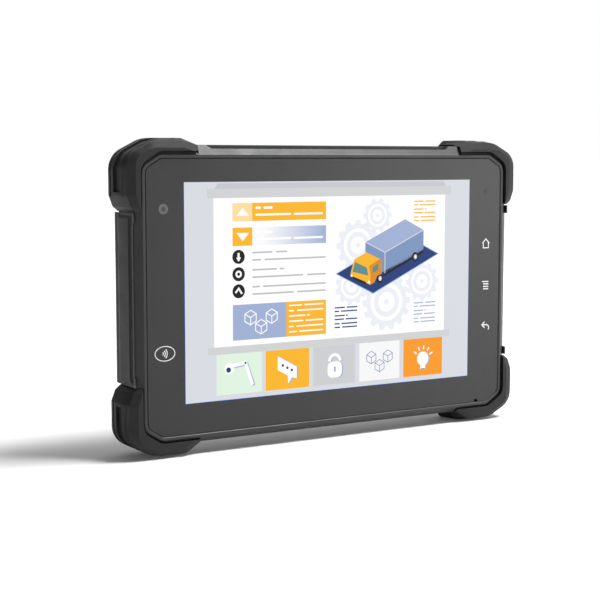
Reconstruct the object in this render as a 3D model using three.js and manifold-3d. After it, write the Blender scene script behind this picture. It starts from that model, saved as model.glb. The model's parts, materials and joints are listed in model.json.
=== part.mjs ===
// A rugged seven-inch data collector: a tablet terminal with a glass front, a bezel, a rear housing,
// four rubber corner bumpers, a hinged port door, a screwed expansion cover and a row of top keys.
// Millimetres. X runs to the right seen from the front, Y runs from the front face to the back, Z is up.
// The origin is at the middle of the footprint, under the bottom bumpers.
import * as THREE from "three";
import { ConvexGeometry } from "three/addons/geometries/ConvexGeometry.js";
import { mergeVertices } from "three/addons/utils/BufferGeometryUtils.js";
import Module from "manifold-3d";

const wasm = await Module();
wasm.setup();

// ---- Driving dimensions ----
const WIDTH = 206.4; // across the bumpers
const HEIGHT = 135.4; // across the bumpers
const DEPTH = 30.1; // bumper rim to back face
const GAP = 0.3; // between neighbouring pieces

const RIM_PROUD = 1.1; // the bumper rim stands this far in front of the bezel
const BEZEL_Y = -DEPTH / 2 + RIM_PROUD; // the bezel's front face
const BACK = DEPTH - RIM_PROUD; // depth of the back face behind the bezel's front face

// The window in the bezel that the cover glass fills.
const WINDOW_W = 187.0;
const WINDOW_H = 117.6;
const WINDOW_Z0 = 9.2;
const WINDOW_Z1 = WINDOW_Z0 + WINDOW_H;
const WINDOW_CUT = [7.1, 4.4]; // corner cut, across and down

// How far the body stands outside the window.
const BODY = { side: 4.7, top: 5.7, bottom: 4.0 };
const BODY_X = WINDOW_W / 2 + BODY.side;
const BODY_TOP = WINDOW_Z1 + BODY.top;
const BODY_BOTTOM = WINDOW_Z0 - BODY.bottom;
const LIP = 1.9; // width of the flat lip around the glass
const CHAMFER_D = [0.3, 2.6]; // depths where the bezel's outer chamfer starts and ends
const BEZEL_BACK = 3.6;
const HOUSING_FRONT = BEZEL_BACK + GAP;
const TAPER_D = 17.5; // the housing's side walls lean inwards behind this depth
const TAPER_IN = 9.7;
const WALL = { side: 3.0, top: 2.7, bottom: 2.7, back: 2.5 };

// Stack behind the glass, as depths behind the bezel's front face.
const GLASS_D = [0.25, 1.75];
const GASKET_D = [2.0, 2.25];
const POCKET_FLOOR = 2.5;
const LEDGE = 3.5; // width of the ledge that carries the glass
const DISPLAY = { w: 158, h: 101, x: -0.5, z: WINDOW_Z0 + 60.5, d: [1.95, 5.4] };
const CHASSIS_D = [5.8, 7.4];

// Corner bumpers, in distances inwards from the outermost side (t) and the outermost top or bottom (v).
const BUMPER = {
  cut: [14.6, 7.4],
  round: [10, 14], // at the side and at the top or bottom of the cut
  rampV: [[0, 24], [1.8, 28.8], [4.0, 30.6]], // the end ramp of the run down the side, as [t, v]
  rampT: { start: [27, 32.5], end: 34 }, // the run along the top: ramp start at the front and at the back
  // depth, inset at the side, inset at the top or bottom
  sections: [[-RIM_PROUD, 4.9, 4.2], [0.45, 1.3, 1.1], [7, 0, 0], [16.4, 0, 0], [22.5, 4.5, 4.0]],
  rimGap: 2.7, // window edge to the rim's inner edge
  endThick: 0.6,
  channelD: [4.6, 11.6],
  channelDeep: 1.2,
};

// Long side strips between the bumpers: the port door at the left and the expansion cover at the right.
const STRIP = { z: [31.2, 104.2], d: [1.2, 19.6], plateX: 99.1, lugX: 99.5, padX: 99.9, lug: 4.6 };
const STRIP_MIDDLE_D = (STRIP.d[0] + STRIP.d[1]) / 2;
const BAY = { d: [8, 15.6], z: [40, 98], floorX: 90.2, wall: 1.6 };
const HINGE = { x: 96.8, d: 21.6, r: 1.2, pin: 0.5, bore: 0.66, z: [38, 97.6] };
const SEAL_WALL = 1.2;

// Top notch and keys.
const NOTCH = { x: 62, slope: 2.4, drop: 1.7, back: 6 };
const KEYS = [["function_key", -36], ["volume_down_key", -12], ["volume_up_key", 12], ["power_key", 36]];
const KEY = { w: 16, d: [10.2, 15.6], pocket: 0.8, sink: 0.2, flange: 1.0, h: 3.6, travel: 0.6 };
const KEY_POCKET = { x: 48, d: [8.6, 17.2] };

// Back face.
const SCREWS = [[-82, 24], [82, 24], [-82, 113], [82, 113], [-28, 18.5], [28, 18.5], [-28, 119], [28, 119]];
const SCREW = { head: 2.3, headH: 1.9, shank: 1.15, sink: 0.6, tip: 6.4, boss: 3.2 };
const INSERT = { pitch: 75, z: 68, r: 3.0, bore: 1.65, long: 6.5 };
const DOCK = { x: 0, z: 20.4, w: 34, h: 7 };
const SPEAKER = { x: -58, z: 40, w: 30, h: 16, slots: 5, pitch: 2.8, slot: 1.2, back: 25.6 };
const VENT = { x: 58, z: 40, r: 3.2 };

// Inner parts: middle (x, z) and size (w, h), with d as depths behind the bezel's front face.
const BATTERY = { x: 0, z: 41, w: 124, h: 28, round: 2.5, d: [8.2, 17.4] };
const MAIN_BOARD = { x: 0, z: 87, w: 136, h: 50, round: 2, d: [9.6, 11.0], notch: { w: 40, top: 66 } };
const SHIELD_D = [MAIN_BOARD.d[1] + GAP, MAIN_BOARD.d[1] + 2.7];
const SPREADER_D = [SHIELD_D[1] + GAP, SHIELD_D[1] + 1.3];
const PROCESSOR = { x: -14, z: 86, w: 40, h: 32, margin: [6, 4] };
const MODEM = { x: 36, z: 85, w: 32, h: 26 };
const SIDE_BOARD = { x: [72, 88], d: [13.7, 14.7], ports: [44, 90], sim: [58, 80] };
const MICROPHONE = { x: 80.4, z: WINDOW_Z0 + 6.2, r: 2.0, d: [2.8, 4.6], notchZ: WINDOW_Z0 + 0.4, notchR: 1.1 };
const CAMERA = { x: -85.5, z: WINDOW_Z0 + 96.5, size: 7.6, d: [3.2, 5.6], lensR: 1.9, lensFront: 2.0 };
const CONTACTLESS = { x: -85, z: 45.6, w: 8.4, h: 26, band: 2, d: [3.2, 3.8] };
const SOFT_KEYS = { x: 85.5, z: WINDOW_Z0 + 57, w: 8, h: 56, round: 1.5, d: [2.0, 2.8] };
const STATUS = { x: 85, z: WINDOW_Z0 + 100, w: 7, h: 12, round: 1, d: [3.2, 4.2], lamp: [84.8, WINDOW_Z0 + 102, 0.9] };
const GNSS = { x: 60, z: 112, w: 18, h: 18, round: 0.8, d: [12, 16] };
const AERIAL_D = [12, 13];
const CELLULAR_AERIAL = { x: [-74, -33], z: [117.6, 123.6] };
const WIRELESS_AERIAL = { x: [64, 74.6], z: [79, 103] };

// ---- Finishes ----
const finish = (color, roughness, metalness = 0) => ({ color, roughness, metalness });
const BEZEL_PLASTIC = finish(0x3c3c3d, 0.55);
const HOUSING_PLASTIC = finish(0x343536, 0.6);
const RUBBER = finish(0x2e2e2f, 0.8);
const SEAL_RUBBER = finish(0x151516, 0.85);
const GLASS = finish(0x4a4b4c, 0.12);
const LCD = finish(0xd8dce2, 0.3);
const METAL = finish(0xb4b6b8, 0.35, 1);
const MAGNESIUM = finish(0x8d9092, 0.5, 1);
const COPPER = finish(0xb87a4b, 0.35, 1);
const BRASS = finish(0xc4a04e, 0.3, 1);
const BOARD = finish(0x1f5b3a, 0.5);
const WRAP = finish(0x22384f, 0.5);
const CERAMIC = finish(0xcfc6b2, 0.6);

// ---- Geometry helpers ----
const yAt = (depth) => BEZEL_Y + depth;

function solid(geometry) {
  const bare = new THREE.BufferGeometry().setAttribute("position", geometry.getAttribute("position"));
  if (geometry.index) bare.setIndex(geometry.index);
  const merged = mergeVertices(bare, 1e-4);
  return new wasm.Manifold(new wasm.Mesh({
    numProp: 3,
    vertProperties: new Float32Array(merged.attributes.position.array),
    triVerts: new Uint32Array(merged.index.array),
  }));
}

function geometryOf(shape) {
  const mesh = shape.getMesh();
  const geometry = new THREE.BufferGeometry();
  geometry.setAttribute("position", new THREE.BufferAttribute(mesh.vertProperties, 3));
  geometry.setIndex(new THREE.BufferAttribute(mesh.triVerts, 1));
  return geometry;
}

const join = (...shapes) => shapes.reduce((a, b) => a.add(b));
const cut = (shape, ...cutters) => cutters.reduce((a, b) => a.subtract(b), shape);

// A polygon's corners rounded with arcs: points are [x, z, radius].
function rounded(points, steps = 3) {
  return points.flatMap(([x, z, radius = 0], i) => {
    const here = new THREE.Vector2(x, z);
    if (!radius) return [here];
    const before = new THREE.Vector2(...points.at(i - 1)).sub(here).normalize();
    const after = new THREE.Vector2(...points[(i + 1) % points.length]).sub(here).normalize();
    const half = before.angleTo(after) / 2;
    const middle = before.clone().add(after).normalize().multiplyScalar(radius / Math.sin(half)).add(here);
    const start = here.clone().addScaledVector(before, radius / Math.tan(half)).sub(middle);
    const sweep = Math.sign(after.cross(before)) * (Math.PI - 2 * half);
    return Array.from({ length: steps + 1 }, (_, k) =>
      start.clone().rotateAround(new THREE.Vector2(), (sweep * k) / steps).add(middle));
  });
}

// A rectangle with cut corners; round holds the radii at the side and at the top or bottom of each cut.
function cutRectangle(x0, x1, z0, z1, [cutX, cutZ], [roundSide, roundTop]) {
  return rounded([
    [x0 + cutX, z0, roundTop], [x1 - cutX, z0, roundTop], [x1, z0 + cutZ, roundSide],
    [x1, z1 - cutZ, roundSide], [x1 - cutX, z1, roundTop], [x0 + cutX, z1, roundTop],
    [x0, z1 - cutZ, roundSide], [x0, z0 + cutZ, roundSide],
  ]);
}

// The window's outline, grown by the same amount all round, or by the three amounts given. The corner
// cut keeps its slope, so each edge of a grown outline runs parallel to the window's edge.
function windowOutline(grow) {
  const { side, top, bottom } = typeof grow === "number" ? { side: grow, top: grow, bottom: grow } : grow;
  const half = WINDOW_W / 2 + side;
  const slope = Math.atan2(WINDOW_CUT[1], WINDOW_CUT[0]);
  const corner = [
    WINDOW_CUT[0] + side * (1 - Math.tan(slope / 2)),
    WINDOW_CUT[1] + side * (1 - Math.tan(Math.PI / 4 - slope / 2)),
  ];
  const round = [Math.max(3.5 + side, 1), Math.max(2 + side, 0.5)];
  return cutRectangle(-half, half, WINDOW_Z0 - bottom, WINDOW_Z1 + top, corner, round);
}

const bodyOutline = (inset = 0) => windowOutline(
  { side: BODY.side - inset, top: BODY.top - inset, bottom: BODY.bottom - inset });

// An outline in the XZ plane, extruded between two depths.
function slab(points, front, back) {
  const geometry = new THREE.ExtrudeGeometry(new THREE.Shape(points), {
    depth: back - front, bevelEnabled: false, curveSegments: 1,
  });
  return solid(geometry.rotateX(Math.PI / 2).translate(0, yAt(back), 0));
}

// The convex body through outlines at several depths: [points, depth] pairs.
function loft(...sections) {
  const points = sections.flatMap(([outline, depth]) =>
    outline.map((p) => new THREE.Vector3(p.x, yAt(depth), p.y)));
  return solid(new ConvexGeometry(points));
}

function box([x0, x1], [d0, d1], [z0, z1]) {
  const geometry = new THREE.BoxGeometry(x1 - x0, d1 - d0, z1 - z0);
  return solid(geometry.translate((x0 + x1) / 2, yAt((d0 + d1) / 2), (z0 + z1) / 2));
}

// Round bars along each axis.
function barY(x, z, radius, front, back, sides = 16) {
  const geometry = new THREE.CylinderGeometry(radius, radius, back - front, sides);
  return solid(geometry.translate(x, yAt((front + back) / 2), z));
}

function barX(depth, z, radius, x0, x1, sides = 16) {
  const geometry = new THREE.CylinderGeometry(radius, radius, Math.abs(x1 - x0), sides);
  return solid(geometry.rotateZ(Math.PI / 2).translate((x0 + x1) / 2, yAt(depth), z));
}

function barZ(x, depth, radius, z0, z1, sides = 16) {
  const geometry = new THREE.CylinderGeometry(radius, radius, z1 - z0, sides);
  return solid(geometry.rotateX(Math.PI / 2).translate(x, yAt(depth), (z0 + z1) / 2));
}

// A rectangle with round corners, in the XZ plane.
const roundRectangle = (x, z, w, h, radius) => rounded([
  [x - w / 2, z - h / 2, radius], [x + w / 2, z - h / 2, radius],
  [x + w / 2, z + h / 2, radius], [x - w / 2, z + h / 2, radius],
]);

// An inner part given by its middle and size: with round corners, or as a plain box.
const roundPlate = ({ x, z, w, h, round, d }) => slab(roundRectangle(x, z, w, h, round), ...d);
const plainBox = ({ x, z, w, h }, depths, [growX, growZ] = [0, 0]) => box(
  growSpan([x - w / 2, x + w / 2], growX), depths, growSpan([z - h / 2, z + h / 2], growZ));

// A span [near, far] counted outwards from the middle, on the side given by sign.
const sideSpan = (sign, a, b) => (sign > 0 ? [a, b] : [-b, -a]);
const growSpan = ([a, b], by) => [a - by, b + by];

// ---- The group and its nodes ----
const collector = new THREE.Group();
collector.name = "data_collector";

function add(name, shape, look) {
  const mesh = new THREE.Mesh(geometryOf(shape), new THREE.MeshStandardMaterial(look));
  mesh.name = name;
  collector.add(mesh);
}

// The long notch along the top of the bezel and housing.
function topNotch() {
  const floor = BODY_TOP - NOTCH.drop;
  const rise = 2 * NOTCH.drop;
  const reach = NOTCH.x + 2 * NOTCH.slope;
  return slab([
    new THREE.Vector2(-NOTCH.x, floor), new THREE.Vector2(NOTCH.x, floor),
    new THREE.Vector2(reach, floor + rise), new THREE.Vector2(-reach, floor + rise),
  ], -2, NOTCH.back);
}

function frontBezel() {
  const outer = loft(
    [windowOutline(LIP - 0.4), 0], [windowOutline(LIP), CHAMFER_D[0]],
    [bodyOutline(), CHAMFER_D[1]], [bodyOutline(), BEZEL_BACK]);
  const tongue = slab(windowOutline(-1), BEZEL_BACK - 1, CHASSIS_D[0] + GAP);
  const edge = loft([windowOutline(1.0), -0.5], [windowOutline(0), 0.5]);
  const pocket = slab(windowOutline(0), 0.4, POCKET_FLOOR);
  const opening = slab(windowOutline(-LEDGE), 1, CHASSIS_D[1]);
  return cut(join(outer, tongue), edge, pocket, opening, topNotch());
}

function coverGlass() {
  const micNotch = barY(MICROPHONE.x, MICROPHONE.notchZ, MICROPHONE.notchR, -1, 3, 12);
  return cut(slab(windowOutline(-0.6), ...GLASS_D), micNotch);
}

const ringAround = (outer, inner, front, back) => cut(slab(outer, front, back), slab(inner, front - 1, back + 1));

// One bumper's outline at a depth, for the corner given by signs: straight runs, end ramps and a cut
// corner, moved inwards by insetT at the side and insetV at the top or bottom.
function bumperOutline(signX, signZ, depth, insetT, insetV) {
  const back = THREE.MathUtils.clamp(depth / BUMPER.sections.at(-2)[0], 0, 1);
  const rampStart = THREE.MathUtils.lerp(...BUMPER.rampT.start, back);
  const rampEndV = (signZ > 0 ? HEIGHT - BODY_TOP : BODY_BOTTOM) - GAP - BUMPER.endThick;
  const [cutT, cutV] = BUMPER.cut;
  const corners = [[BUMPER.rampT.end, rampEndV], [rampStart, 0], [cutT, 0], [0, cutV], ...BUMPER.rampV];
  const shifts = [[0, insetV], [0, insetV], [insetT / 2, insetV / 2], [insetT, 0], [insetT, 0], [insetT, 0]];
  const lines = [
    { n: [1, 0], c: BUMPER.rampT.end },
    ...shifts.map((shift, i) => lineThrough(corners[i], corners[i + 1], shift)),
    { n: [0, 1], c: BUMPER.rampV.at(-1)[1] },
  ];
  const radii = [0, 2, BUMPER.round[1], BUMPER.round[0], 3, 2, 0];
  const points = radii.map((radius, i) => [...crossing(lines[i], lines[i + 1]), radius]);
  points.push([BUMPER.rampT.end, BUMPER.rampV.at(-1)[1], 0]);
  return rounded(points).map(({ x, y }) => new THREE.Vector2(
    signX * (WIDTH / 2 - x), signZ > 0 ? HEIGHT - y : y));
}

// The line through two points, both moved by a shift, as its normal n and distance c.
function lineThrough([t0, v0], [t1, v1], [shiftT, shiftV]) {
  const n = [v1 - v0, t0 - t1];
  return { n, c: n[0] * (t0 + shiftT) + n[1] * (v0 + shiftV) };
}

function crossing(a, b) {
  const det = a.n[0] * b.n[1] - a.n[1] * b.n[0];
  return [(a.c * b.n[1] - b.c * a.n[1]) / det, (a.n[0] * b.c - b.n[0] * a.c) / det];
}

function bumper(signX, signZ) {
  const outer = loft(...BUMPER.sections.map(([depth, insetT, insetV]) =>
    [bumperOutline(signX, signZ, depth, insetT, insetV), depth]));
  const rim = windowOutline(BUMPER.rimGap);
  const body = bodyOutline(-GAP);
  const inside = loft([rim, -2], [rim, 0.6], [body, CHAMFER_D[1]], [body, BACK]);
  const [front, back] = BUMPER.channelD;
  const band = (inset) => bumperOutline(signX, signZ, front, inset, inset);
  const channel = ringAround(band(-2), band(BUMPER.channelDeep), front, back);
  const reachX = WIDTH / 2 - BUMPER.rampT.start[0] + 1.4;
  const reachV = BUMPER.rampV[0][1] - 1.4;
  const zone = box(sideSpan(signX, reachX, WIDTH), [0, BACK],
    signZ > 0 ? [HEIGHT - reachV, 2 * HEIGHT] : [-HEIGHT, reachV]);
  return cut(outer, inside, channel.intersect(zone));
}

// A side strip: a plate with raised end lugs and a raised, bevelled pad.
function strip(sign) {
  const [z0, z1] = STRIP.z;
  const [d0, d1] = STRIP.d;
  const inner = BODY_X + GAP;
  const bevelled = (xTop, [da, db], [za, zb], bevel) => {
    const ring = (x, by) => [[da + by, za + by], [db - by, za + by], [db - by, zb - by], [da + by, zb - by]]
      .map(([d, z]) => new THREE.Vector3(sign * x, yAt(d), z));
    return solid(new ConvexGeometry([...ring(inner, 0), ...ring(xTop - bevel, 0), ...ring(xTop, bevel)]));
  };
  return join(
    bevelled(STRIP.plateX, [d0, d1], [z0, z1], 0.3),
    bevelled(STRIP.lugX, [d0, d1], [z0, z0 + STRIP.lug], 0.6),
    bevelled(STRIP.lugX, [d0, d1], [z1 - STRIP.lug, z1], 0.6),
    bevelled(STRIP.padX, [d0 + 2.4, d1 - 4.2], [z0 + 3.2, z1 - 3.2], 0.9));
}

function portDoor() {
  const barrel = barZ(-HINGE.x, HINGE.d, HINGE.r, ...HINGE.z, 12);
  const plateEdge = STRIP.plateX - 0.3;
  const webCorners = [[BODY_X + GAP, STRIP.d[1] - 1.2], [plateEdge, STRIP.d[1] - 1.2], [plateEdge, STRIP.d[1]],
    [HINGE.x + 1.0, HINGE.d + 0.4], [HINGE.x - 0.9, HINGE.d - 0.6]];
  const web = solid(new ConvexGeometry(webCorners.flatMap(([x, d]) =>
    HINGE.z.map((z) => new THREE.Vector3(-x, yAt(d), z)))));
  const bore = barZ(-HINGE.x, HINGE.d, HINGE.bore, 0, HEIGHT, 12);
  return cut(join(strip(-1), web, barrel), bore);
}

// The two lugs of the housing that hold the door's hinge pin.
function hingeLugs() {
  const [z0, z1] = HINGE.z;
  const spans = [[z0 - 4.3, z0 - GAP], [z1 + GAP, z1 + 4.3]];
  return spans.map((span) => {
    const eye = barZ(-HINGE.x, HINGE.d, HINGE.r, ...span, 12);
    const foot = box([-HINGE.x - 0.4, -HINGE.x + 3.4], [HINGE.d - 0.6, HINGE.d + 1.0], span);
    return join(eye, foot);
  });
}

function bayWalls(sign) {
  return box(sideSpan(sign, BAY.floorX - BAY.wall, BODY_X - 1), growSpan(BAY.d, BAY.wall), growSpan(BAY.z, BAY.wall));
}

const baySpace = (sign, grow = 0) =>
  box(sideSpan(sign, BAY.floorX, BODY_X + 5), growSpan(BAY.d, grow), growSpan(BAY.z, grow));

function baySeal(sign) {
  const reach = sideSpan(sign, BODY_X - 1.3, BODY_X + 0.25);
  const outer = box(reach, growSpan(BAY.d, -GAP), growSpan(BAY.z, -GAP));
  const hole = box(sideSpan(sign, 80, 110), growSpan(BAY.d, -GAP - SEAL_WALL), growSpan(BAY.z, -GAP - SEAL_WALL));
  return cut(outer, hole);
}

// Connectors that look into the left bay and the right bay, as [name, sign, z, height, depths, inner x].
const PORTS = [
  ["usb_port", -1, 84, 9.0, [10.2, 13.4], 80.5],
  ["audio_jack", -1, 69, 7.0, [8.6, 13.4], 77],
  ["memory_card_socket", -1, 52, 12.6, [11.2, 13.4], 76],
  ["sim_card_socket", 1, 69, 16.6, [10.8, 13.4], 73],
];

const portBox = ([, sign, z, height, depths, innerX], grow, reach) =>
  box(sideSpan(sign, innerX - grow, reach), growSpan(depths, grow), growSpan([z - height / 2, z + height / 2], grow));

function port(row) {
  const [name, sign, z, height, depths] = row;
  const shell = portBox(row, 0, BAY.floorX + 0.2);
  const mouthX = sideSpan(sign, BAY.floorX - 6, BAY.floorX + 2);
  if (name === "audio_jack") return cut(shell, barX((depths[0] + depths[1]) / 2, z, 1.8, ...mouthX));
  return cut(shell, box(mouthX, growSpan(depths, -0.4), growSpan([z - height / 2, z + height / 2], -0.4)));
}

function rearHousing() {
  const taper = bodyOutline(TAPER_IN);
  const outer = loft([bodyOutline(), HOUSING_FRONT], [bodyOutline(), TAPER_D], [taper, BACK]);
  const room = (extra) => windowOutline({
    side: BODY.side - WALL.side - extra, top: BODY.top - WALL.top - extra,
    bottom: BODY.bottom - WALL.bottom - extra });
  const cavity = loft([room(0), 0], [room(0), TAPER_D - 1], [room(TAPER_IN - 2), BACK - WALL.back]);
  const bosses = SCREWS.map(([x, z]) => barY(x, z, SCREW.boss, CHASSIS_D[1] + GAP, BACK - 1, 12));
  const shell = join(cut(outer, cavity), ...bosses, bayWalls(-1).intersect(outer), bayWalls(1).intersect(outer),
    ...insertPoints().map(([x, z]) => barY(x, z, INSERT.r + 2, BACK - INSERT.long - 1.5, BACK - 1, 12)),
    ...hingeLugs());
  const screwHoles = SCREWS.flatMap(([x, z]) => [
    barY(x, z, SCREW.shank + GAP, 0, BACK + 1, 12),
    barY(x, z, SCREW.head + GAP, BACK - SCREW.sink - SCREW.headH - GAP, BACK + 1, 16)]);
  const insertHoles = insertPoints().map(([x, z]) => barY(x, z, INSERT.r + GAP, BACK - INSERT.long - GAP, BACK + 1, 16));
  const keyHoles = KEYS.map(([, x]) => box([x - KEY.w / 2 - GAP, x + KEY.w / 2 + GAP], growSpan(KEY.d, GAP),
    [BODY_TOP - 5, BODY_TOP + 5]));
  const keyPocket = box([-KEY_POCKET.x, KEY_POCKET.x], KEY_POCKET.d, [BODY_TOP - KEY.pocket, BODY_TOP + 5]);
  const coverScrewHoles = coverScrewPoints().map((z) => barX(STRIP_MIDDLE_D, z, 1.45, BODY_X - 2.6, BODY_X + 2, 12));
  return cut(shell, baySpace(-1), baySpace(1), ...PORTS.map((row) => portBox(row, GAP, BAY.floorX + 1)),
    barZ(-HINGE.x, HINGE.d, HINGE.pin + 0.1, HINGE.z[0] - 3.8, HINGE.z[1] + 3.8, 12),
    ...screwHoles, ...insertHoles, ...keyHoles, keyPocket, topNotch(), ...coverScrewHoles,
    dockHole(), ...speakerSlots(), barY(VENT.x, VENT.z, VENT.r + GAP, BACK - 4, BACK + 1));
}

const insertPoints = () => [-1, 1].flatMap((sx) =>
  [-1, 1].map((sz) => [sx * INSERT.pitch / 2, INSERT.z + sz * INSERT.pitch / 2]));

const coverScrewPoints = () => [STRIP.z[0] + 2.3, STRIP.z[1] - 2.3];

const dockHole = () => slab(roundRectangle(DOCK.x, DOCK.z, DOCK.w + 2 * GAP, DOCK.h + 2 * GAP, 2.3), BACK - 4, BACK + 1);

function dockConnector() {
  const face = slab(roundRectangle(DOCK.x, DOCK.z, DOCK.w, DOCK.h, 2), BACK - 3.2, BACK - 0.8);
  const flange = slab(roundRectangle(DOCK.x, DOCK.z, DOCK.w - 4, DOCK.h - 2, 1), BACK - 6.0, BACK - 3.1);
  return join(face, flange);
}

const speakerSlots = () => Array.from({ length: SPEAKER.slots }, (_, i) => {
  const z = SPEAKER.z + (i - (SPEAKER.slots - 1) / 2) * SPEAKER.pitch;
  return slab(roundRectangle(SPEAKER.x, z, SPEAKER.w - 10, SPEAKER.slot, 0.55), BACK - 4, BACK + 1);
});

function key(x) {
  const top = BODY_TOP - KEY.sink;
  const cap = box([x - KEY.w / 2, x + KEY.w / 2], KEY.d, [top - KEY.h, top]);
  const flange = box([x - KEY.w / 2 - KEY.flange, x + KEY.w / 2 + KEY.flange], growSpan(KEY.d, KEY.flange),
    [top - KEY.h, BODY_TOP - WALL.top - GAP]);
  return join(cap, flange);
}

function keyBoard() {
  const top = BODY_TOP - KEY.sink - KEY.h - KEY.travel - 0.2;
  const strip = box([-50, 50], growSpan(KEY.d, 1), [top - 1.5, top - 0.5]);
  return join(strip, ...KEYS.map(([, x]) => {
    const dome = new THREE.CylinderGeometry(1.6, 2.2, 0.6, 12).rotateX(Math.PI / 2);
    return solid(dome.translate(x, yAt((KEY.d[0] + KEY.d[1]) / 2), top - 0.3));
  }));
}

function screwY(x, z) {
  const top = BACK - SCREW.sink;
  const drive = barY(x, z, 1.1, top - 1.2, top + 1, 6);
  return cut(join(barY(x, z, SCREW.head, top - SCREW.headH, top), barY(x, z, SCREW.shank, SCREW.tip, top - 1, 12)), drive);
}

function coverScrew(z) {
  const outerX = STRIP.lugX + 0.1;
  const drive = barX(STRIP_MIDDLE_D, z, 0.8, outerX - 0.7, outerX + 1, 6);
  const head = barX(STRIP_MIDDLE_D, z, 1.9, BODY_X + GAP, outerX);
  return cut(join(head, barX(STRIP_MIDDLE_D, z, 1.1, BODY_X - 2.3, outerX - 0.5, 12)), drive);
}

const insert = ([x, z]) => cut(barY(x, z, INSERT.r, BACK - INSERT.long, BACK - 0.1, 16),
  barY(x, z, INSERT.bore, BACK - INSERT.long + 1, BACK + 1, 16));

function midChassis() {
  const plate = slab(roundRectangle(0, WINDOW_Z0 + WINDOW_H / 2, 176.4, 107.5, 5), ...CHASSIS_D);
  const window = slab(roundRectangle(0, 41, 128, 30, 3), 0, 20);
  const screwHoles = SCREWS.map(([x, z]) => barY(x, z, SCREW.shank + GAP, 0, 20, 12));
  return cut(plate, window, ...screwHoles);
}

function mainBoard() {
  const { w, top } = MAIN_BOARD.notch;
  return cut(roundPlate(MAIN_BOARD), box([-w / 2, w / 2], [0, BACK], [0, top]));
}

function contactlessAntenna() {
  const { x, z, w, h, band, d } = CONTACTLESS;
  return ringAround(roundRectangle(x, z, w, h, 1.5), roundRectangle(x, z, w - 2 * band, h - 2 * band, 1), ...d);
}

function statusLightBoard() {
  const [x, z, radius] = STATUS.lamp;
  return join(roundPlate(STATUS), barY(x, z, radius, 2.0, STATUS.d[0] + 0.2, 12));
}

function loudspeaker() {
  const { x, z, w, h, back } = SPEAKER;
  const front = roundRectangle(x, z, w, h, 3);
  const rim = roundRectangle(x, z, w - 4, h - 3, 3);
  return join(slab(front, back - 7.2, back - 1), slab(rim, back - 1.2, back));
}

function pressureVent() {
  const cap = barY(VENT.x, VENT.z, VENT.r, BACK - 1.6, BACK - 0.3);
  return join(cap, barY(VENT.x, VENT.z, VENT.r - 1, BACK - 4, BACK - 1.4, 12));
}

function frontCamera() {
  const { x, z, size, d, lensR, lensFront } = CAMERA;
  return join(slab(roundRectangle(x, z, size, size, 1), ...d), barY(x, z, lensR, lensFront, d[0] + 0.2, 16));
}

// ---- Assembly ----
add("front_bezel", frontBezel(), BEZEL_PLASTIC);
add("cover_glass", coverGlass(), GLASS);
add("glass_gasket", ringAround(windowOutline(-1), windowOutline(-LEDGE + 0.4), ...GASKET_D), SEAL_RUBBER);
add("display_module", slab(roundRectangle(DISPLAY.x, DISPLAY.z, DISPLAY.w, DISPLAY.h, 1.5), ...DISPLAY.d), LCD);
add("housing_seal", ringAround(windowOutline(1), windowOutline(-0.7), 4.2, 5.6), SEAL_RUBBER);
add("mid_chassis", midChassis(), MAGNESIUM);
add("rear_housing", rearHousing(), HOUSING_PLASTIC);

for (const [sx, xName] of [[-1, "left"], [1, "right"]])
  for (const [sz, zName] of [[1, "top"], [-1, "bottom"]])
    add(`bumper_${zName}_${xName}`, bumper(sx, sz), RUBBER);

add("port_door", portDoor(), RUBBER);
add("port_door_seal", baySeal(-1), SEAL_RUBBER);
add("port_door_pin", barZ(-HINGE.x, HINGE.d, HINGE.pin, HINGE.z[0] - 3.4, HINGE.z[1] + 3.4, 12), METAL);

add("expansion_cover", cut(strip(1), ...coverScrewPoints().map((z) => barX(STRIP_MIDDLE_D, z, 2.2, 90, 110))), RUBBER);
add("expansion_cover_seal", baySeal(1), SEAL_RUBBER);
coverScrewPoints().forEach((z, i) => add(`expansion_cover_screw_${i + 1}`, coverScrew(z), METAL));

PORTS.forEach((row) => add(row[0], port(row), METAL));
const { x: boardX, d: boardD, ports: portsZ, sim: simZ } = SIDE_BOARD;
add("port_board", box(sideSpan(-1, ...boardX), boardD, portsZ), BOARD);
add("sim_board", box(boardX, boardD, simZ), BOARD);

KEYS.forEach(([name, x]) => add(name, key(x), RUBBER));
add("key_board", keyBoard(), BOARD);

add("main_board", mainBoard(), BOARD);
add("processor_shield", plainBox(PROCESSOR, SHIELD_D), METAL);
add("heat_spreader", plainBox(PROCESSOR, SPREADER_D, PROCESSOR.margin), COPPER);
add("modem_shield", plainBox(MODEM, SHIELD_D), METAL);
add("battery_pack", roundPlate(BATTERY), WRAP);
add("front_camera", frontCamera(), SEAL_RUBBER);
add("contactless_antenna", contactlessAntenna(), COPPER);
add("soft_key_sensor", roundPlate(SOFT_KEYS), BOARD);
add("status_light_board", statusLightBoard(), BOARD);
add("front_microphone", barY(MICROPHONE.x, MICROPHONE.z, MICROPHONE.r, ...MICROPHONE.d, 16), METAL);
add("loudspeaker", loudspeaker(), SEAL_RUBBER);
add("speaker_mesh", slab(roundRectangle(SPEAKER.x, SPEAKER.z, SPEAKER.w - 6, SPEAKER.h - 1, 1),
  SPEAKER.back + GAP, SPEAKER.back + 0.6), METAL);
add("gnss_antenna", roundPlate(GNSS), CERAMIC);
add("cellular_antenna", box(CELLULAR_AERIAL.x, AERIAL_D, CELLULAR_AERIAL.z), COPPER);
add("wireless_antenna", box(WIRELESS_AERIAL.x, AERIAL_D, WIRELESS_AERIAL.z), COPPER);
add("pressure_vent", pressureVent(), SEAL_RUBBER);
add("dock_connector", dockConnector(), SEAL_RUBBER);
insertPoints().forEach((point, i) => add(`mount_insert_${i + 1}`, insert(point), BRASS));
SCREWS.forEach(([x, z], i) => add(`rear_screw_${i + 1}`, screwY(x, z), METAL));

export default collector;
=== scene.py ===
import json
import math

import bmesh
import bpy
from mathutils import Matrix, Vector


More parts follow.
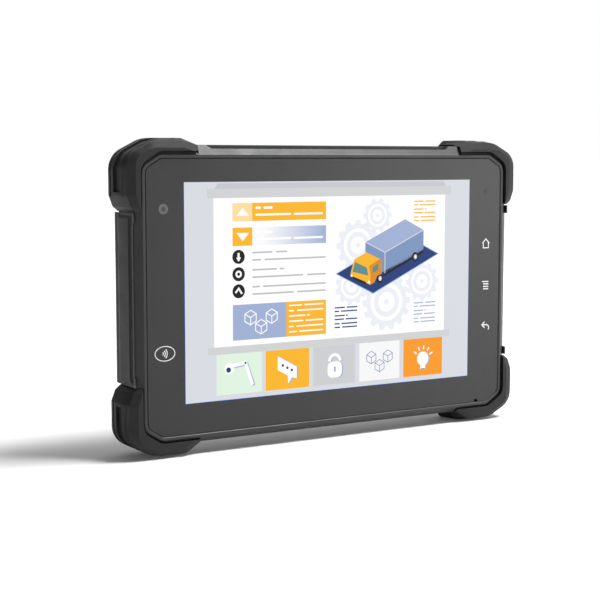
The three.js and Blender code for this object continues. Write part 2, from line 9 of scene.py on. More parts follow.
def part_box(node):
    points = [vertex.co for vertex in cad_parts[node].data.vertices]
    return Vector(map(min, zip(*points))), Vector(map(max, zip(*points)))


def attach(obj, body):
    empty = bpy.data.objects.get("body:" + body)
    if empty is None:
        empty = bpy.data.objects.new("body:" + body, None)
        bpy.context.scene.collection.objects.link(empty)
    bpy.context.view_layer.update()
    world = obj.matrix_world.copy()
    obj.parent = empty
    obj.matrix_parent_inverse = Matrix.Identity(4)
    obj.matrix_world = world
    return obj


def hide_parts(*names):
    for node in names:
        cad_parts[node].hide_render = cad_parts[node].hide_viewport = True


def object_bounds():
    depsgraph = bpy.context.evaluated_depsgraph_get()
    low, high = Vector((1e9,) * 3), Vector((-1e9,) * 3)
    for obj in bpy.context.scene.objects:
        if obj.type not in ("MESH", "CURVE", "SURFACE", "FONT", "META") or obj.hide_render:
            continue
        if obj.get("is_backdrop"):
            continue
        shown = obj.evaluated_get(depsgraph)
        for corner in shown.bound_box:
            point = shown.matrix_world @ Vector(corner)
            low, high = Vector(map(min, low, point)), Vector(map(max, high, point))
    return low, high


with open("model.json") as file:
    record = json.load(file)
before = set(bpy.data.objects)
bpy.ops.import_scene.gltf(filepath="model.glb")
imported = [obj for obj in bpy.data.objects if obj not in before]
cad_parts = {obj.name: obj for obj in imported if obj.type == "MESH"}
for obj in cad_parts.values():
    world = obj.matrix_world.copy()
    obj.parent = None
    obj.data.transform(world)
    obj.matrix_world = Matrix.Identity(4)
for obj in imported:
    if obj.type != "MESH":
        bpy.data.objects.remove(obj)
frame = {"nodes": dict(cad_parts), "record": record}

CAD_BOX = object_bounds()

# Shapes are made in millimetres: x to the right, depth behind the bezel's front face, z up.
# build() turns their points into metres.
MM = 0.001


def box_mm(node):
    low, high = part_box(node)
    return low / MM, high / MM


# ---- Driving dimensions: the main sizes come from the frame, and the rest is placed from them ----
BEZEL_LOW, BEZEL_HIGH = box_mm("front_bezel")
GLASS_LOW, GLASS_HIGH = box_mm("cover_glass")
COVER_LOW, COVER_HIGH = box_mm("expansion_cover")
BEZEL_Y = BEZEL_LOW.y
WIDTH = 2 * CAD_BOX[1].x / MM
HEIGHT = CAD_BOX[1].z / MM
BACK = box_mm("rear_housing")[1].y - BEZEL_Y
BODY_X, BODY_LOW, BODY_TOP = BEZEL_HIGH.x, BEZEL_LOW.z, BEZEL_HIGH.z
GLASS_GAP = 0.6
WINDOW_HALF = GLASS_HIGH.x + GLASS_GAP
WINDOW_LOW, WINDOW_TOP = GLASS_LOW.z - GLASS_GAP, GLASS_HIGH.z + GLASS_GAP
WINDOW_CUT, WINDOW_ROUND = (7.1, 4.4), (3.5, 2)
BODY_GROW = {"side": BODY_X - WINDOW_HALF, "top": BODY_TOP - WINDOW_TOP, "bottom": WINDOW_LOW - BODY_LOW}
GAP, SNUG = 0.3, 0.05  # between neighbouring pieces, and between the bumpers and the body
SIDES = (-1, 1)  # left and right

# Bezel, glass and housing. CHAMFER_D is where the bezel's chamfer starts and ends; the housing's back tapers
# in by TAPER_IN from the depth TAPER_D.
LIP = 1.9
CHAMFER_D = (0.3, 2.6)
BEZEL_BACK, TONGUE_BACK = 3.6, 6.1
POCKET_BACK, OPENING_IN = 2.5, 3.5
GLASS_FRONT, GLASS_BACK, GLASS_FIT = 0.25, 1.75, 0.15
MICROPHONE_X, MICROPHONE_R = 80.4, 1.1
TAPER_D, TAPER_IN = 17.5, 9.7
WALL = {"side": 3.0, "top": 2.7, "bottom": 2.7}

# Bumpers, with t inwards from the side and v from the top or bottom. BUMPER_RAMP_V holds the (t, v) points of
# the run down the side; BUMPER_RAMP_T says where the other run's ramp starts, at the front and at the back,
# and where it ends. BUMPER_PROFILE holds a depth and how far the outline is in there, along t and along v.
BUMPER_CUT = (14.6, 7.4)
BUMPER_ROUND = (10, 14)
BUMPER_RAMP_V = ((0, 24), (1.8, 28.8), (4.0, 30.6))
BUMPER_RAMP_T = (27, 32.5, 34)
BUMPER_PROFILE = ((-1.1, 4.9, 4.2), (0.45, 1.3, 1.1), (7, 0, 0), (16.4, 0, 0), (22.5, 4.5, 4.0))
BUMPER_PROUD = 0.9  # how far its ends stand out from the body
RIM_GROW = {"side": 2.7, "top": 3.2, "bottom": 2.7}
# The bumper's channel and the narrow groove on each side of it: front, back, how deep, and how far short of
# the ramps it ends.
CHANNELS = ((4.7, 11.5, 1.2, 1.4), (2.2, 3.2, 0.9, -0.6), (13.7, 14.7, 0.9, -0.6))
GROOVE_DEEP, GROOVE_X = 0.9, (-0.45, 0.4)  # the grooves in the case just past the bumpers' ends

# Side strips, hinge and bays. LUG is the length of a strip's end lugs, PAD_RISE of its pad's bevels.
STRIP_D = (1.2, 19.6)
STRIP_Z = (COVER_LOW.z, COVER_HIGH.z)
PLATE_X, PAD_X, PAD_RISE, LUG = 99.1, 99.9, 0.7, 3.8
HINGE_X, HINGE_D, HINGE_R, PIN_BORE = 96.8, 21.6, 1.2, 0.66
HINGE_Z, HINGE_LUG = (38, 97.6), 4.3
BAY_D, BAY_Z, BAY_FLOOR, BAY_WALL = (8, 15.6), (40, 98), 90.2, 1.6

# The notch and the keys in the top edge.
NOTCH_X, NOTCH_SLOPE, NOTCH_DROP, NOTCH_BACK = 62, 2.4, 1.6, 4.6
KEYS = ("function_key", "volume_down_key", "volume_up_key", "power_key")
KEY_HALF, KEY_D = 8, (10.2, 15.6)
KEY_POCKET_X, KEY_POCKET_D, KEY_POCKET_DROP = 48, (8.6, 17.2), 0.8


# ---- Outlines ----
def rounded(points, steps=8):
    """A polygon with its corners rounded by arcs; each point is (x, z) or (x, z, radius)."""
    outline = []
    for i, point in enumerate(points):
        here = Vector(point[:2])
        radius = point[2] if len(point) > 2 else 0
        if radius <= 0:
            outline.append(here)
            continue
        before = (Vector(points[i - 1][:2]) - here).normalized()
        after = (Vector(points[(i + 1) % len(points)][:2]) - here).normalized()
        half = before.angle(after) / 2
        middle = here + (before + after).normalized() * (radius / math.sin(half))
        start = here + before * (radius / math.tan(half)) - middle
        sweep = math.copysign(math.pi - 2 * half, after.cross(before))
        outline += [middle + Matrix.Rotation(sweep * k / steps, 2) @ start for k in range(steps + 1)]
    return outline


def cut_rectangle(half, z0, z1, corner, radii):
    """A rectangle with cut corners; radii are those at the side and at the top or bottom of a cut."""
    (cx, cz), (side, top) = corner, radii
    quarter = [(half - cx, z1, top), (half, z1 - cz, side), (half, z0 + cz, side), (half - cx, z0, top)]
    return rounded(quarter + [(-x, z, r) for x, z, r in reversed(quarter)])


def window_outline(grow):
    """The window's outline, grown by one distance all round or by one each for side, top and bottom."""
    if not isinstance(grow, dict):
        grow = {"side": grow, "top": grow, "bottom": grow}
    side = grow["side"]
    slope = math.atan2(WINDOW_CUT[1], WINDOW_CUT[0])
    corner = (WINDOW_CUT[0] + side * (1 - math.tan(slope / 2)),
              WINDOW_CUT[1] + side * (1 - math.tan(math.pi / 4 - slope / 2)))
    radii = (max(WINDOW_ROUND[0] + side, 1), max(WINDOW_ROUND[1] + side, 0.5))
    return cut_rectangle(WINDOW_HALF + side, WINDOW_LOW - grow["bottom"], WINDOW_TOP + grow["top"],
                         corner, radii)


def body_outline(inset=0):
    """The case's outline, moved inwards by the inset."""
    return window_outline({k: v - inset for k, v in BODY_GROW.items()})


def rectangle(x0, x1, z0, z1, radius=0):
    return rounded([(x0, z0, radius), (x1, z0, radius), (x1, z1, radius), (x0, z1, radius)], 5)


def oval(x, z, half_x, half_z, sides):
    angles = [2 * math.pi * k / sides for k in range(sides)]
    return [Vector((x + half_x * math.cos(a), z + half_z * math.sin(a))) for a in angles]


def disc(x, z, radius, sides=32):
    return oval(x, z, radius, radius, sides)


def line_through(a, b, shift):
    """The line through a and b, moved by the shift, as its normal and its distance along it."""
    normal = Vector((b[1] - a[1], a[0] - b[0]))
    return normal, normal.dot(Vector(a) + Vector(shift))


def crossing(a, b):
    """The point where two such lines cross."""
    (na, ca), (nb, cb) = a, b
    det = na.x * nb.y - na.y * nb.x
    return (ca * nb.y - cb * na.y) / det, (na.x * cb - nb.x * ca) / det


def bumper_outline(sign_x, sign_z, depth, inset_t, inset_v):
    """A bumper's outline at a depth, moved inwards by inset_t at the side and inset_v at top or bottom."""
    front, back, end = BUMPER_RAMP_T
    share = min(max(depth / BUMPER_PROFILE[-2][0], 0), 1)
    ramp_start = front + (back - front) * share
    end_v = (HEIGHT - BODY_TOP if sign_z > 0 else BODY_LOW) - BUMPER_PROUD
    cut_t, cut_v = BUMPER_CUT
    corners = [(end, end_v), (ramp_start, 0), (cut_t, 0), (0, cut_v), *BUMPER_RAMP_V]
    shifts = [(0, inset_v)] * 2 + [(inset_t / 2, inset_v / 2)] + [(inset_t, 0)] * 3
    lines = [(Vector((1, 0)), end)]
    lines += [line_through(corners[i], corners[i + 1], shift) for i, shift in enumerate(shifts)]
    lines.append((Vector((0, 1)), BUMPER_RAMP_V[-1][1]))
    radii = (0, 2, BUMPER_ROUND[1] - inset_v, BUMPER_ROUND[0] - inset_t, 3, 2, 0)
    points = [(*crossing(lines[i], lines[i + 1]), radius) for i, radius in enumerate(radii)]
    points.append((end, BUMPER_RAMP_V[-1][1]))
    return [Vector((sign_x * (WIDTH / 2 - p.x), HEIGHT - p.y if sign_z > 0 else p.y))
            for p in rounded(points, 12)]


# ---- Solids ----
def add_object(name, data):
    made = bpy.data.objects.new(name, data)
    bpy.context.scene.collection.objects.link(made)
    return made


def build(name, points, faces):
    """A closed mesh object from points (x, depth, z) in millimetres."""
    mesh = bpy.data.meshes.new(name)
    mesh.from_pydata([Vector((x, BEZEL_Y + d, z)) * MM for x, d, z in points], [], faces)
    tidy = bmesh.new()
    tidy.from_mesh(mesh)
    bmesh.ops.recalc_face_normals(tidy, faces=tidy.faces)
    tidy.to_mesh(mesh)
    tidy.free()
    return add_object(name, mesh)


def skin(name, rings):
    """The closed solid through rings of equally many points (x, depth, z), with flat ends."""
    count = len(rings[0])
    faces = [list(range(count)), list(range((len(rings) - 1) * count, len(rings) * count))]
    for r in range(len(rings) - 1):
        for k in range(count):
            a, b = r * count + k, r * count + (k + 1) % count
            faces.append([a, b, b + count, a + count])
    return build(name, [p for ring in rings for p in ring], faces)


def loft(name, *sections):
    """The solid through outlines in x and z, each given with its depth."""
    return skin(name, [[(p.x, depth, p.y) for p in outline] for outline, depth in sections])


def slab(name, outline, front, back):
    return loft(name, (outline, front), (outline, back))


def block(name, x, d, z):
    return slab(name, rectangle(min(x), max(x), *z), *d)


def turned_x(name, depth, z, rings, sides=32):
    """A round solid on an axis along x, from rings of (x, radius)."""
    return skin(name, [[(x, depth + p.x, z + p.y) for p in disc(0, 0, r, sides)] for x, r in rings])


def turned_y(name, x, z, rings, sides=32):
    """A round solid on an axis from front to back, from rings of (radius, depth)."""
    return loft(name, *[(disc(x, z, radius, sides), depth) for radius, depth in rings])


def bar_z(name, x, depth, radius, z0, z1, sides=24):
    """A round bar along z."""
    return skin(name, [[(x + p.x, depth + p.y, z) for p in disc(0, 0, radius, sides)] for z in (z0, z1)])


def side_ring(x, d, z):
    """The corners of a rectangle in depth and height, at one x."""
    return [(x, depth, height) for depth, height in ((d[0], z[0]), (d[1], z[0]), (d[1], z[1]), (d[0], z[1]))]


def settle(obj):
    """Applies the object's modifiers to its mesh."""
    graph = bpy.context.evaluated_depsgraph_get()
    mesh = bpy.data.meshes.new_from_object(obj.evaluated_get(graph), depsgraph=graph)
    obj.modifiers.clear()
    old, obj.data = obj.data, mesh
    bpy.data.meshes.remove(old)
    return obj


def combine(obj, others, operation):
    for other in others:
        step = obj.modifiers.new("combine", "BOOLEAN")
        step.operation, step.solver, step.object = operation, "MANIFOLD", other
        settle(obj)
        bpy.data.objects.remove(other)
    return obj


def cut(obj, *others):
    return combine(obj, others, "DIFFERENCE")


def join(obj, *others):
    return combine(obj, others, "UNION")


def finish_edges(obj, width=0.0, segments=2, angle=40):
    """Cleans the booleans' flat faces, rounds the hard edges if there is a width, and shades smooth."""
    tidy = bmesh.new()
    tidy.from_mesh(obj.data)
    bmesh.ops.remove_doubles(tidy, verts=tidy.verts, dist=0.002 * MM)
    bmesh.ops.dissolve_limit(tidy, angle_limit=math.radians(0.6), verts=tidy.verts, edges=tidy.edges)
    tidy.to_mesh(obj.data)
    tidy.free()
    if width:
        bevel = obj.modifiers.new("bevel", "BEVEL")
        bevel.width, bevel.segments = width * MM, segments
        bevel.limit_method, bevel.angle_limit = "ANGLE", math.radians(angle)
        bevel.miter_outer = "MITER_ARC"
        settle(obj)
    obj.data.shade_smooth()
    obj.data.set_sharp_from_angle(angle=math.radians(32))
    weigh = obj.modifiers.new("normals", "WEIGHTED_NORMAL")
    weigh.keep_sharp = True
    return settle(obj)


# ---- Materials ----
class Paint:
    """A procedural material: a Principled shader with its nodes, in object coordinates."""

    def __init__(self, name, roughness, metallic=0.0, specular=0.5):
        self.material = bpy.data.materials.new(name)
        self.material.use_nodes = True
        self.nodes, self.links = self.material.node_tree.nodes, self.material.node_tree.links
        self.shader = self.nodes["Principled BSDF"]
        self.shader.inputs["Roughness"].default_value = roughness
        self.shader.inputs["Metallic"].default_value = metallic
        self.shader.inputs["Specular IOR Level"].default_value = specular
        self.place = self.add("ShaderNodeTexCoord").outputs["Object"]

    def add(self, kind, **values):
        node = self.nodes.new(kind)
        for key, value in values.items():
            setattr(node, key, value)
        return node

    def noise(self, size_mm, detail, stretch=(1, 1, 1)):
        mapping = self.add("ShaderNodeMapping")
        mapping.inputs["Scale"].default_value = stretch
        self.links.new(self.place, mapping.inputs["Vector"])
        noise = self.add("ShaderNodeTexNoise")
        noise.inputs["Scale"].default_value = 1 / (size_mm * MM)
        noise.inputs["Detail"].default_value = detail
        self.links.new(mapping.outputs["Vector"], noise.inputs["Vector"])
        return noise.outputs["Fac"]

    def scaled(self, value, low, high, source=(0.3, 0.7)):
        """The source range of a value carried over to low and high."""
        span = self.add("ShaderNodeMapRange")
        span.inputs["From Min"].default_value, span.inputs["From Max"].default_value = source
        span.inputs["To Min"].default_value, span.inputs["To Max"].default_value = low, high
        self.links.new(value, span.inputs["Value"])
        return span.outputs["Result"]

    def mix(self, factor, a, b):
        """A colour mixed between a and b, each a colour or a socket."""
        mixer = self.add("ShaderNodeMix", data_type="RGBA")
        self.links.new(factor, mixer.inputs["Factor"])
        for socket, value in ((mixer.inputs[6], a), (mixer.inputs[7], b)):
            if isinstance(value, tuple):
                socket.default_value = (*value, 1)
            else:
                self.links.new(value, socket)
        return mixer.outputs[2]

    def edges(self, radius_mm):
        """1 along convex and concave edges, 0 on flat faces."""
        soft = self.add("ShaderNodeBevel", samples=6)
        soft.inputs["Radius"].default_value = radius_mm * MM
        flat = self.add("ShaderNodeNewGeometry").outputs["Normal"]
        dot = self.add("ShaderNodeVectorMath", operation="DOT_PRODUCT")
        self.links.new(soft.outputs["Normal"], dot.inputs[0])
        self.links.new(flat, dot.inputs[1])
        return self.scaled(dot.outputs["Value"], 1, 0, (0.80, 0.995))

    def roughen(self, value, low, high):
        self.links.new(self.scaled(value, low, high), self.shader.inputs["Roughness"])

    def color(self, value):
        self.links.new(value, self.shader.inputs["Base Color"])

    def bump(self, value, height_mm):
        bump = self.add("ShaderNodeBump")
        bump.inputs["Distance"].default_value = height_mm * MM
        self.links.new(value, bump.inputs["Height"])
        self.links.new(bump.outputs["Normal"], self.shader.inputs["Normal"])


def gray(value):
    """A gray with a trace of blue."""
    return (value, value, value * 1.02)


def moulded(name, tone, roughness, grain_mm, height_mm, edge_wear_and_highlight, specular=0.5, edge_wear_and_highlight_mm=0.4):
    """Moulded plastic or rubber: spark-eroded grain, cloudy tone, and edges painted lighter, partly as rub
    wear and partly as painted highlight along edges and creases.
    """
    paint = Paint(name, roughness, specular=specular)
    clouds = paint.noise(9, 4)
    grain = paint.noise(grain_mm, 2)
    body = paint.mix(paint.scaled(clouds, 0, 1), gray(tone * 0.88), gray(tone * 1.12))
    # Painted highlight and rub wear: the colour turns lighter along convex and concave edges, by the given
    # share of the tone.
    worn_and_highlit_edges = paint.mix(paint.edges(edge_wear_and_highlight_mm), body, gray(tone * (1 + edge_wear_and_highlight)))
    paint.color(worn_and_highlit_edges)
    paint.roughen(clouds, roughness - 0.05, roughness + 0.06)
    paint.bump(grain, height_mm)
    return paint.material


def metal(name, color, roughness, stretch=(1, 1, 1), size_mm=0.4, height_mm=0.006):
    """Bare metal with machining marks or a cast skin."""
    paint = Paint(name, roughness, 1.0)
    marks = paint.noise(size_mm, 4, stretch)
    stains = paint.noise(6, 3)
    paint.color(paint.mix(paint.scaled(stains, 0, 1), tuple(c * 0.85 for c in color), color))
    paint.roughen(marks, roughness - 0.08, roughness + 0.1)
    paint.bump(marks, height_mm)
    return paint.material


def coated(name, low, high, roughness, size_mm, height_mm=0.01):
    """A coat or film whose colour wanders between two tones, such as solder mask or shrink wrap."""
    paint = Paint(name, roughness)
    pattern = paint.noise(size_mm, 5)
    paint.color(paint.mix(paint.scaled(pattern, 0, 1), low, high))
    paint.roughen(pattern, roughness - 0.06, roughness + 0.08)
    paint.bump(pattern, height_mm)
    return paint.material


def glass_material():
    """Cover glass printed dark on its back, with a fine etched front and faint wiping marks."""
    paint = Paint("printed_glass", 0.42, specular=0.45)
    smear = paint.noise(28, 4, (1, 1, 0.35))
    paint.color(paint.mix(paint.scaled(smear, 0, 1), gray(0.013), gray(0.016)))
    paint.roughen(smear, 0.40, 0.45)
    paint.bump(paint.noise(0.12, 1), 0.0006)
    return paint.material


def linear(color):
    """A screen colour, 0 to 255, as linear light."""
    shares = [byte / 255 for byte in color]
    return tuple(s / 12.92 if s <= 0.04045 else ((s + 0.055) / 1.055) ** 2.4 for s in shares)


def flat_ink(name, color, strength=0.0, roughness=0.4):
    """One printed or lit colour, constant over the surface, so it stays crisp."""
    paint = Paint(name, roughness, specular=0.1)
    if strength:
        paint.shader.inputs["Base Color"].default_value = (0, 0, 0, 1)
        paint.shader.inputs["Emission Color"].default_value = (*linear(color), 1)
        paint.shader.inputs["Emission Strength"].default_value = strength
    else:
        paint.shader.inputs["Base Color"].default_value = (*linear(color), 1)
    return paint.material


# In each moulded() material the sixth number lightens its edges: partly rub wear, partly painted highlight.
SLOTS = {
    "bezel": moulded("bezel_plastic", 0.026, 0.46, 0.22, 0.006, 0.6, 0.4),
    "housing": moulded("housing_plastic", 0.024, 0.50, 0.25, 0.010, 0.8, 0.4),
    "bumper": moulded("bumper_rubber", 0.020, 0.52, 0.18, 0.008, 1.2, 0.2),
    "seal": moulded("seal_rubber", 0.010, 0.7, 0.2, 0.01, 0.3),
    "steel": metal("brushed_steel", (0.46, 0.47, 0.48), 0.32, (1, 1, 14)),
    "chassis": metal("cast_chassis", (0.34, 0.35, 0.36), 0.5, size_mm=0.6, height_mm=0.02),
    "brass": metal("turned_brass", (0.60, 0.42, 0.16), 0.28, (1, 12, 1)),
    "copper": metal("bare_copper", (0.62, 0.30, 0.17), 0.3, (1, 8, 1)),
    "board": coated("solder_mask", (0.008, 0.06, 0.028), (0.014, 0.10, 0.045), 0.35, 1.6),
    "battery": coated("shrink_wrap", (0.015, 0.03, 0.06), (0.022, 0.045, 0.085), 0.4, 7),
    "ceramic": coated("fired_ceramic", (0.50, 0.45, 0.36), (0.60, 0.55, 0.44), 0.55, 0.5),
    "display": coated("panel_film", (0.55, 0.58, 0.62), (0.6, 0.63, 0.67), 0.35, 12, 0.001),
    "glass": glass_material(),
}
# The strips' rubber has its edges painted far lighter (six times its tone added): mostly painted highlight on
# the pads' bevels and creases, a little rub wear.
STRIP_RUBBER = moulded("cover_rubber", 0.018, 0.48, 0.18, 0.006, 6.0, 0.2, 0.6)


def place(obj, slot, stands_for=(), body="case", material=None):
    """Gives a finished piece the material of its record slot, or the one given, puts it under its body and
    hides the CAD nodes it stands for.
    """
    obj.data.materials.clear()
    obj.data.materials.append(material or SLOTS[slot])
    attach(obj, body)
    if stands_for:
        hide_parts(*stands_for)
    return obj


# ---- Case ----
def centre(node):
    low, high = box_mm(node)
    return (low + high) / 2


def node_box(node):
    """A CAD node's box as x, depth and z spans, in millimetres."""
    low, high = box_mm(node)
    return [(low.x, high.x), (low.y - BEZEL_Y, high.y - BEZEL_Y), (low.z, high.z)]


def grow(box, by):
    return [(min(low, high) - by, max(low, high) + by) for low, high in box]


def nodes_named(start):
    return [name for name in sorted(frame["nodes"]) if name.startswith(start)]


SCREW_NODES = nodes_named("rear_screw_")
INSERT_NODES = nodes_named("mount_insert_")
COVER_SCREW_NODES = nodes_named("expansion_cover_screw_")
# The sockets and their side.
PORT_NODES = {"usb_port": -1, "audio_jack": -1, "memory_card_socket": -1, "sim_card_socket": 1}


def top_notch():
    """The solid that cuts the long shallow notch into the top edge, with sloping ends."""
    floor, top = BODY_TOP - NOTCH_DROP, BODY_TOP + NOTCH_DROP
    reach = NOTCH_X + 2 * NOTCH_SLOPE
    outline = [Vector(p) for p in ((-NOTCH_X, floor), (NOTCH_X, floor), (reach, top), (-reach, top))]
    return slab("notch", outline, -2, NOTCH_BACK)


def bumper_end_grooves():
    """Narrow grooves over the top and bottom edges of the case, just past the ends of the bumpers."""
    x = WIDTH / 2 - BUMPER_RAMP_T[-1]
    grooves = []
    for edge, lip, outwards in ((BODY_TOP, WINDOW_TOP + LIP, 1), (BODY_LOW, WINDOW_LOW - LIP, -1)):
        floor, far = edge - outwards * GROOVE_DEEP, edge + outwards * 5
        section = ((-1, lip), (CHAMFER_D[0] + GROOVE_DEEP, lip), (CHAMFER_D[1] + GROOVE_DEEP / 2, floor),
                   (STRIP_D[1], floor), (STRIP_D[1], far), (-1, far))
        for s in SIDES:
            rings = [[(s * (x + off), d, z) for d, z in section] for off in GROOVE_X]
            grooves.append(skin("groove", rings))
    return grooves


def make_bezel():
    outer = loft("bezel", (window_outline(LIP - 0.4), 0), (window_outline(LIP), CHAMFER_D[0]),
                 (body_outline(), CHAMFER_D[1]), (body_outline(), BEZEL_BACK))
    tongue = slab("tongue", window_outline(-1), BEZEL_BACK - 1, TONGUE_BACK)
    edge = loft("edge", (window_outline(1.0), -0.5), (window_outline(0), 0.5))
    pocket = slab("pocket", window_outline(0), 0.4, POCKET_BACK)
    opening = slab("opening", window_outline(-OPENING_IN), 1, TONGUE_BACK + 2)
    bezel = cut(join(outer, tongue), edge, pocket, opening, top_notch(), *bumper_end_grooves())
    place(finish_edges(bezel, 0.16, 2, 20), "bezel", ["front_bezel"])


def make_glass():
    """The cover glass, with a round notch over the microphone in its lower edge."""
    glass = slab("cover_glass_pane", window_outline(-GLASS_FIT), GLASS_FRONT, GLASS_BACK)
    glass = cut(glass, slab("notch", disc(MICROPHONE_X, WINDOW_LOW + 0.4, MICROPHONE_R), -1, 3))
    place(finish_edges(glass, 0.12), "glass", ["cover_glass"])


def channel(sign_x, sign_z, front, back, deep, short):
    """The solid that cuts a channel into a bumper, from its side run round the corner to its other run."""
    def band(inset):
        return bumper_outline(sign_x, sign_z, front, inset, inset)
    ring = cut(slab("channel", band(-3), front, back), slab("core", band(deep), front - 1, back + 1))
    x_near = WIDTH / 2 - BUMPER_RAMP_T[0] + short
    v_reach = BUMPER_RAMP_V[0][1] - short
    z_span = (HEIGHT - v_reach, 2 * HEIGHT) if sign_z > 0 else (-HEIGHT, v_reach)
    zone = block("zone", (sign_x * x_near, sign_x * WIDTH), (front - 2, back + 2), z_span)
    return combine(ring, [zone], "INTERSECT")


def make_bumper(sign_x, sign_z, place_name):
    """A corner bumper: it wraps the case's corner and bears on the chamfer round the window."""
    sections = [(bumper_outline(sign_x, sign_z, d, t, v), d) for d, t, v in BUMPER_PROFILE]
    outer = loft("guard_" + place_name, *sections)
    rim = slab("rim", window_outline(RIM_GROW), -3, 0.7)
    inside = loft("inside", (window_outline(RIM_GROW), 0.6), (body_outline(-SNUG), CHAMFER_D[1]),
                  (body_outline(-SNUG), BACK))
    bumper = cut(outer, rim, inside, *[channel(sign_x, sign_z, *size) for size in CHANNELS])
    place(finish_edges(bumper, 0.3, 3, 20), "bumper", ["bumper_" + place_name])


def raised_pad(sign):
    """The long pad on a side strip; its bevels are narrow in front, wider at the ends, widest behind."""
    d, z = (STRIP_D[0] + 2.4, STRIP_D[1] - 3.4), (STRIP_Z[0] + 1.0, STRIP_Z[1] - 1.0)
    foot = [side_ring(sign * x, d, z) for x in (BODY_X + GAP, PAD_X - PAD_RISE)]
    top = side_ring(sign * PAD_X, (d[0] + 0.8, d[1] - 2.6), (z[0] + 1.6, z[1] - 1.6))
    return skin("pad", [*foot, top])


def make_strip(sign, name, step_back):
    """The plate of the port door or the expansion cover, with its pad.

    Its front edge steps back between the end lugs.
    """
    plate = skin(name, [side_ring(sign * x, STRIP_D, STRIP_Z) for x in (BODY_X + GAP, PLATE_X)])
    plate = join(plate, raised_pad(sign))
    step = block("step", (sign * (PLATE_X - 1), sign * (PLATE_X + 2)),
                 (STRIP_D[0] - 1, STRIP_D[0] + step_back), (STRIP_Z[0] + LUG, STRIP_Z[1] - LUG))
    return cut(plate, step)


def make_port_door():
    """The port door, hinged along its back edge: its plate, its barrel and the web between them."""
    door = make_strip(-1, "port_door_flap", 1.0)
    inner, outer, back = BODY_X + GAP, PLATE_X - 0.3, STRIP_D[1]
    section = ((inner, back - 1.2), (outer, back - 1.2), (outer, back),
               (HINGE_X + 1.0, HINGE_D + 0.4), (HINGE_X - 0.9, HINGE_D - 0.6))
    web = skin("web", [[(-x, d, z) for x, d in section] for z in HINGE_Z])
    barrel = bar_z("barrel", -HINGE_X, HINGE_D, HINGE_R, *HINGE_Z)
    door = cut(join(door, web, barrel), bar_z("bore", -HINGE_X, HINGE_D, PIN_BORE, 0, HEIGHT))
    place(finish_edges(door, 0.25, 3, 24), "bumper", ["port_door"], "port_door", STRIP_RUBBER)


def make_expansion_cover():
    """The screwed cover on the right, with a hole for each screw head near its ends."""
    cover = make_strip(1, "expansion_cover_plate", 2.4)
    depth, from_end = sum(STRIP_D) / 2, 2.3
    span = ((BODY_X, 2.2), (PAD_X + 10, 2.2))
    holes = [turned_x("hole", depth, z, span) for z in (STRIP_Z[0] + from_end, STRIP_Z[1] - from_end)]
    cover = finish_edges(cut(cover, *holes), 0.25, 3, 24)
    place(cover, "bumper", ["expansion_cover"], material=STRIP_RUBBER)


def hinge_lug(span):
    """One eye that holds the end of the port door's pin, on a foot that joins it to the housing."""
    eye = bar_z("eye", -HINGE_X, HINGE_D, HINGE_R, *span)
    foot = block("foot", (-HINGE_X - 0.4, -HINGE_X + 3.4), (HINGE_D - 0.6, HINGE_D + 1.0), span)
    return join(eye, foot)


def housing_shell():
    """The tapered shell with the walls of its side bays and the hinge's lugs, before its openings."""
    def room(inset):
        return window_outline({k: v - WALL[k] - inset for k, v in BODY_GROW.items()})
    outer = loft("housing", (body_outline(), BEZEL_BACK + GAP), (body_outline(), TAPER_D),
                 (body_outline(TAPER_IN), BACK))
    cavity = loft("cavity", (room(0), 0), (room(0), TAPER_D - 1), (room(TAPER_IN - 2), BACK - 2.5))
    bays = [block("bay", (s * (BAY_FLOOR - BAY_WALL), s * (BODY_X - 1)), *grow((BAY_D, BAY_Z), BAY_WALL))
            for s in SIDES]
    low, high = HINGE_Z
    lugs = [hinge_lug(span) for span in ((low - HINGE_LUG, low - GAP), (high + GAP, high + HINGE_LUG))]
    return join(cut(outer, cavity), *bays, *lugs)


def side_openings():
    """The two side bays, and a hole in a bay's floor for each socket."""
    openings = [block("bay", (s * BAY_FLOOR, s * (BODY_X + 5)), BAY_D, BAY_Z) for s in SIDES]
    for node, sign in PORT_NODES.items():
        x, d, z = grow(node_box(node), GAP)
        x_span = (x[0], BAY_FLOOR + 1) if sign > 0 else (-BAY_FLOOR - 1, x[1])
        openings.append(block("socket", x_span, d, z))
    return openings


def top_openings():
    """The holes for the keys, the pocket that they share and the notch."""
    openings = []
    for key in KEYS:
        x = centre(key).x
        x_span, d_span = grow([(x - KEY_HALF, x + KEY_HALF), KEY_D], GAP)
        openings.append(block("key", x_span, d_span, (BODY_TOP - 5, BODY_TOP + 5)))
    pocket_z = (BODY_TOP - KEY_POCKET_DROP, BODY_TOP + 5)
    return [*openings, block("pocket", (-KEY_POCKET_X, KEY_POCKET_X), KEY_POCKET_D, pocket_z), top_notch()]


def back_slot(x, z, radius, deep):
    return slab("slot", rectangle(*x, *z, radius), BACK - deep, BACK + 1)


def back_hole(node, radius, deep):
    c = centre(node)
    return slab("hole", disc(c.x, c.z, radius), BACK - deep, BACK + 1)


def back_openings():
    """The openings in the back: screws, inserts, dock, speaker and vent, and the two ribbed grips."""
    openings = [back_hole(node, 2.6, 2.8) for node in SCREW_NODES]
    openings += [back_hole(node, 3.3, 6.8) for node in INSERT_NODES]
    dock_x, _, dock_z = grow(node_box("dock_connector"), GAP)
    openings.append(back_slot(dock_x, dock_z, 2.3, 4))
    speaker = centre("speaker_mesh")
    for i in range(-2, 3):
        z = speaker.z + 2.8 * i
        openings.append(back_slot((speaker.x - 10, speaker.x + 10), (z - 0.6, z + 0.6), 0.58, 4))
    openings.append(back_hole("pressure_vent", 3.5, 4))
    for s in SIDES:
        for i in range(9):
            z = 48 + 5 * i
            openings.append(back_slot(sorted((s * 60, s * 80)), (z, z + 2.2), 1.05, 0.6))
    return openings


def make_housing():
    shell = cut(housing_shell(), *side_openings(), *top_openings(), *back_openings(), *bumper_end_grooves())
    place(finish_edges(shell, 0.3, 2, 24), "housing", ["rear_housing"])


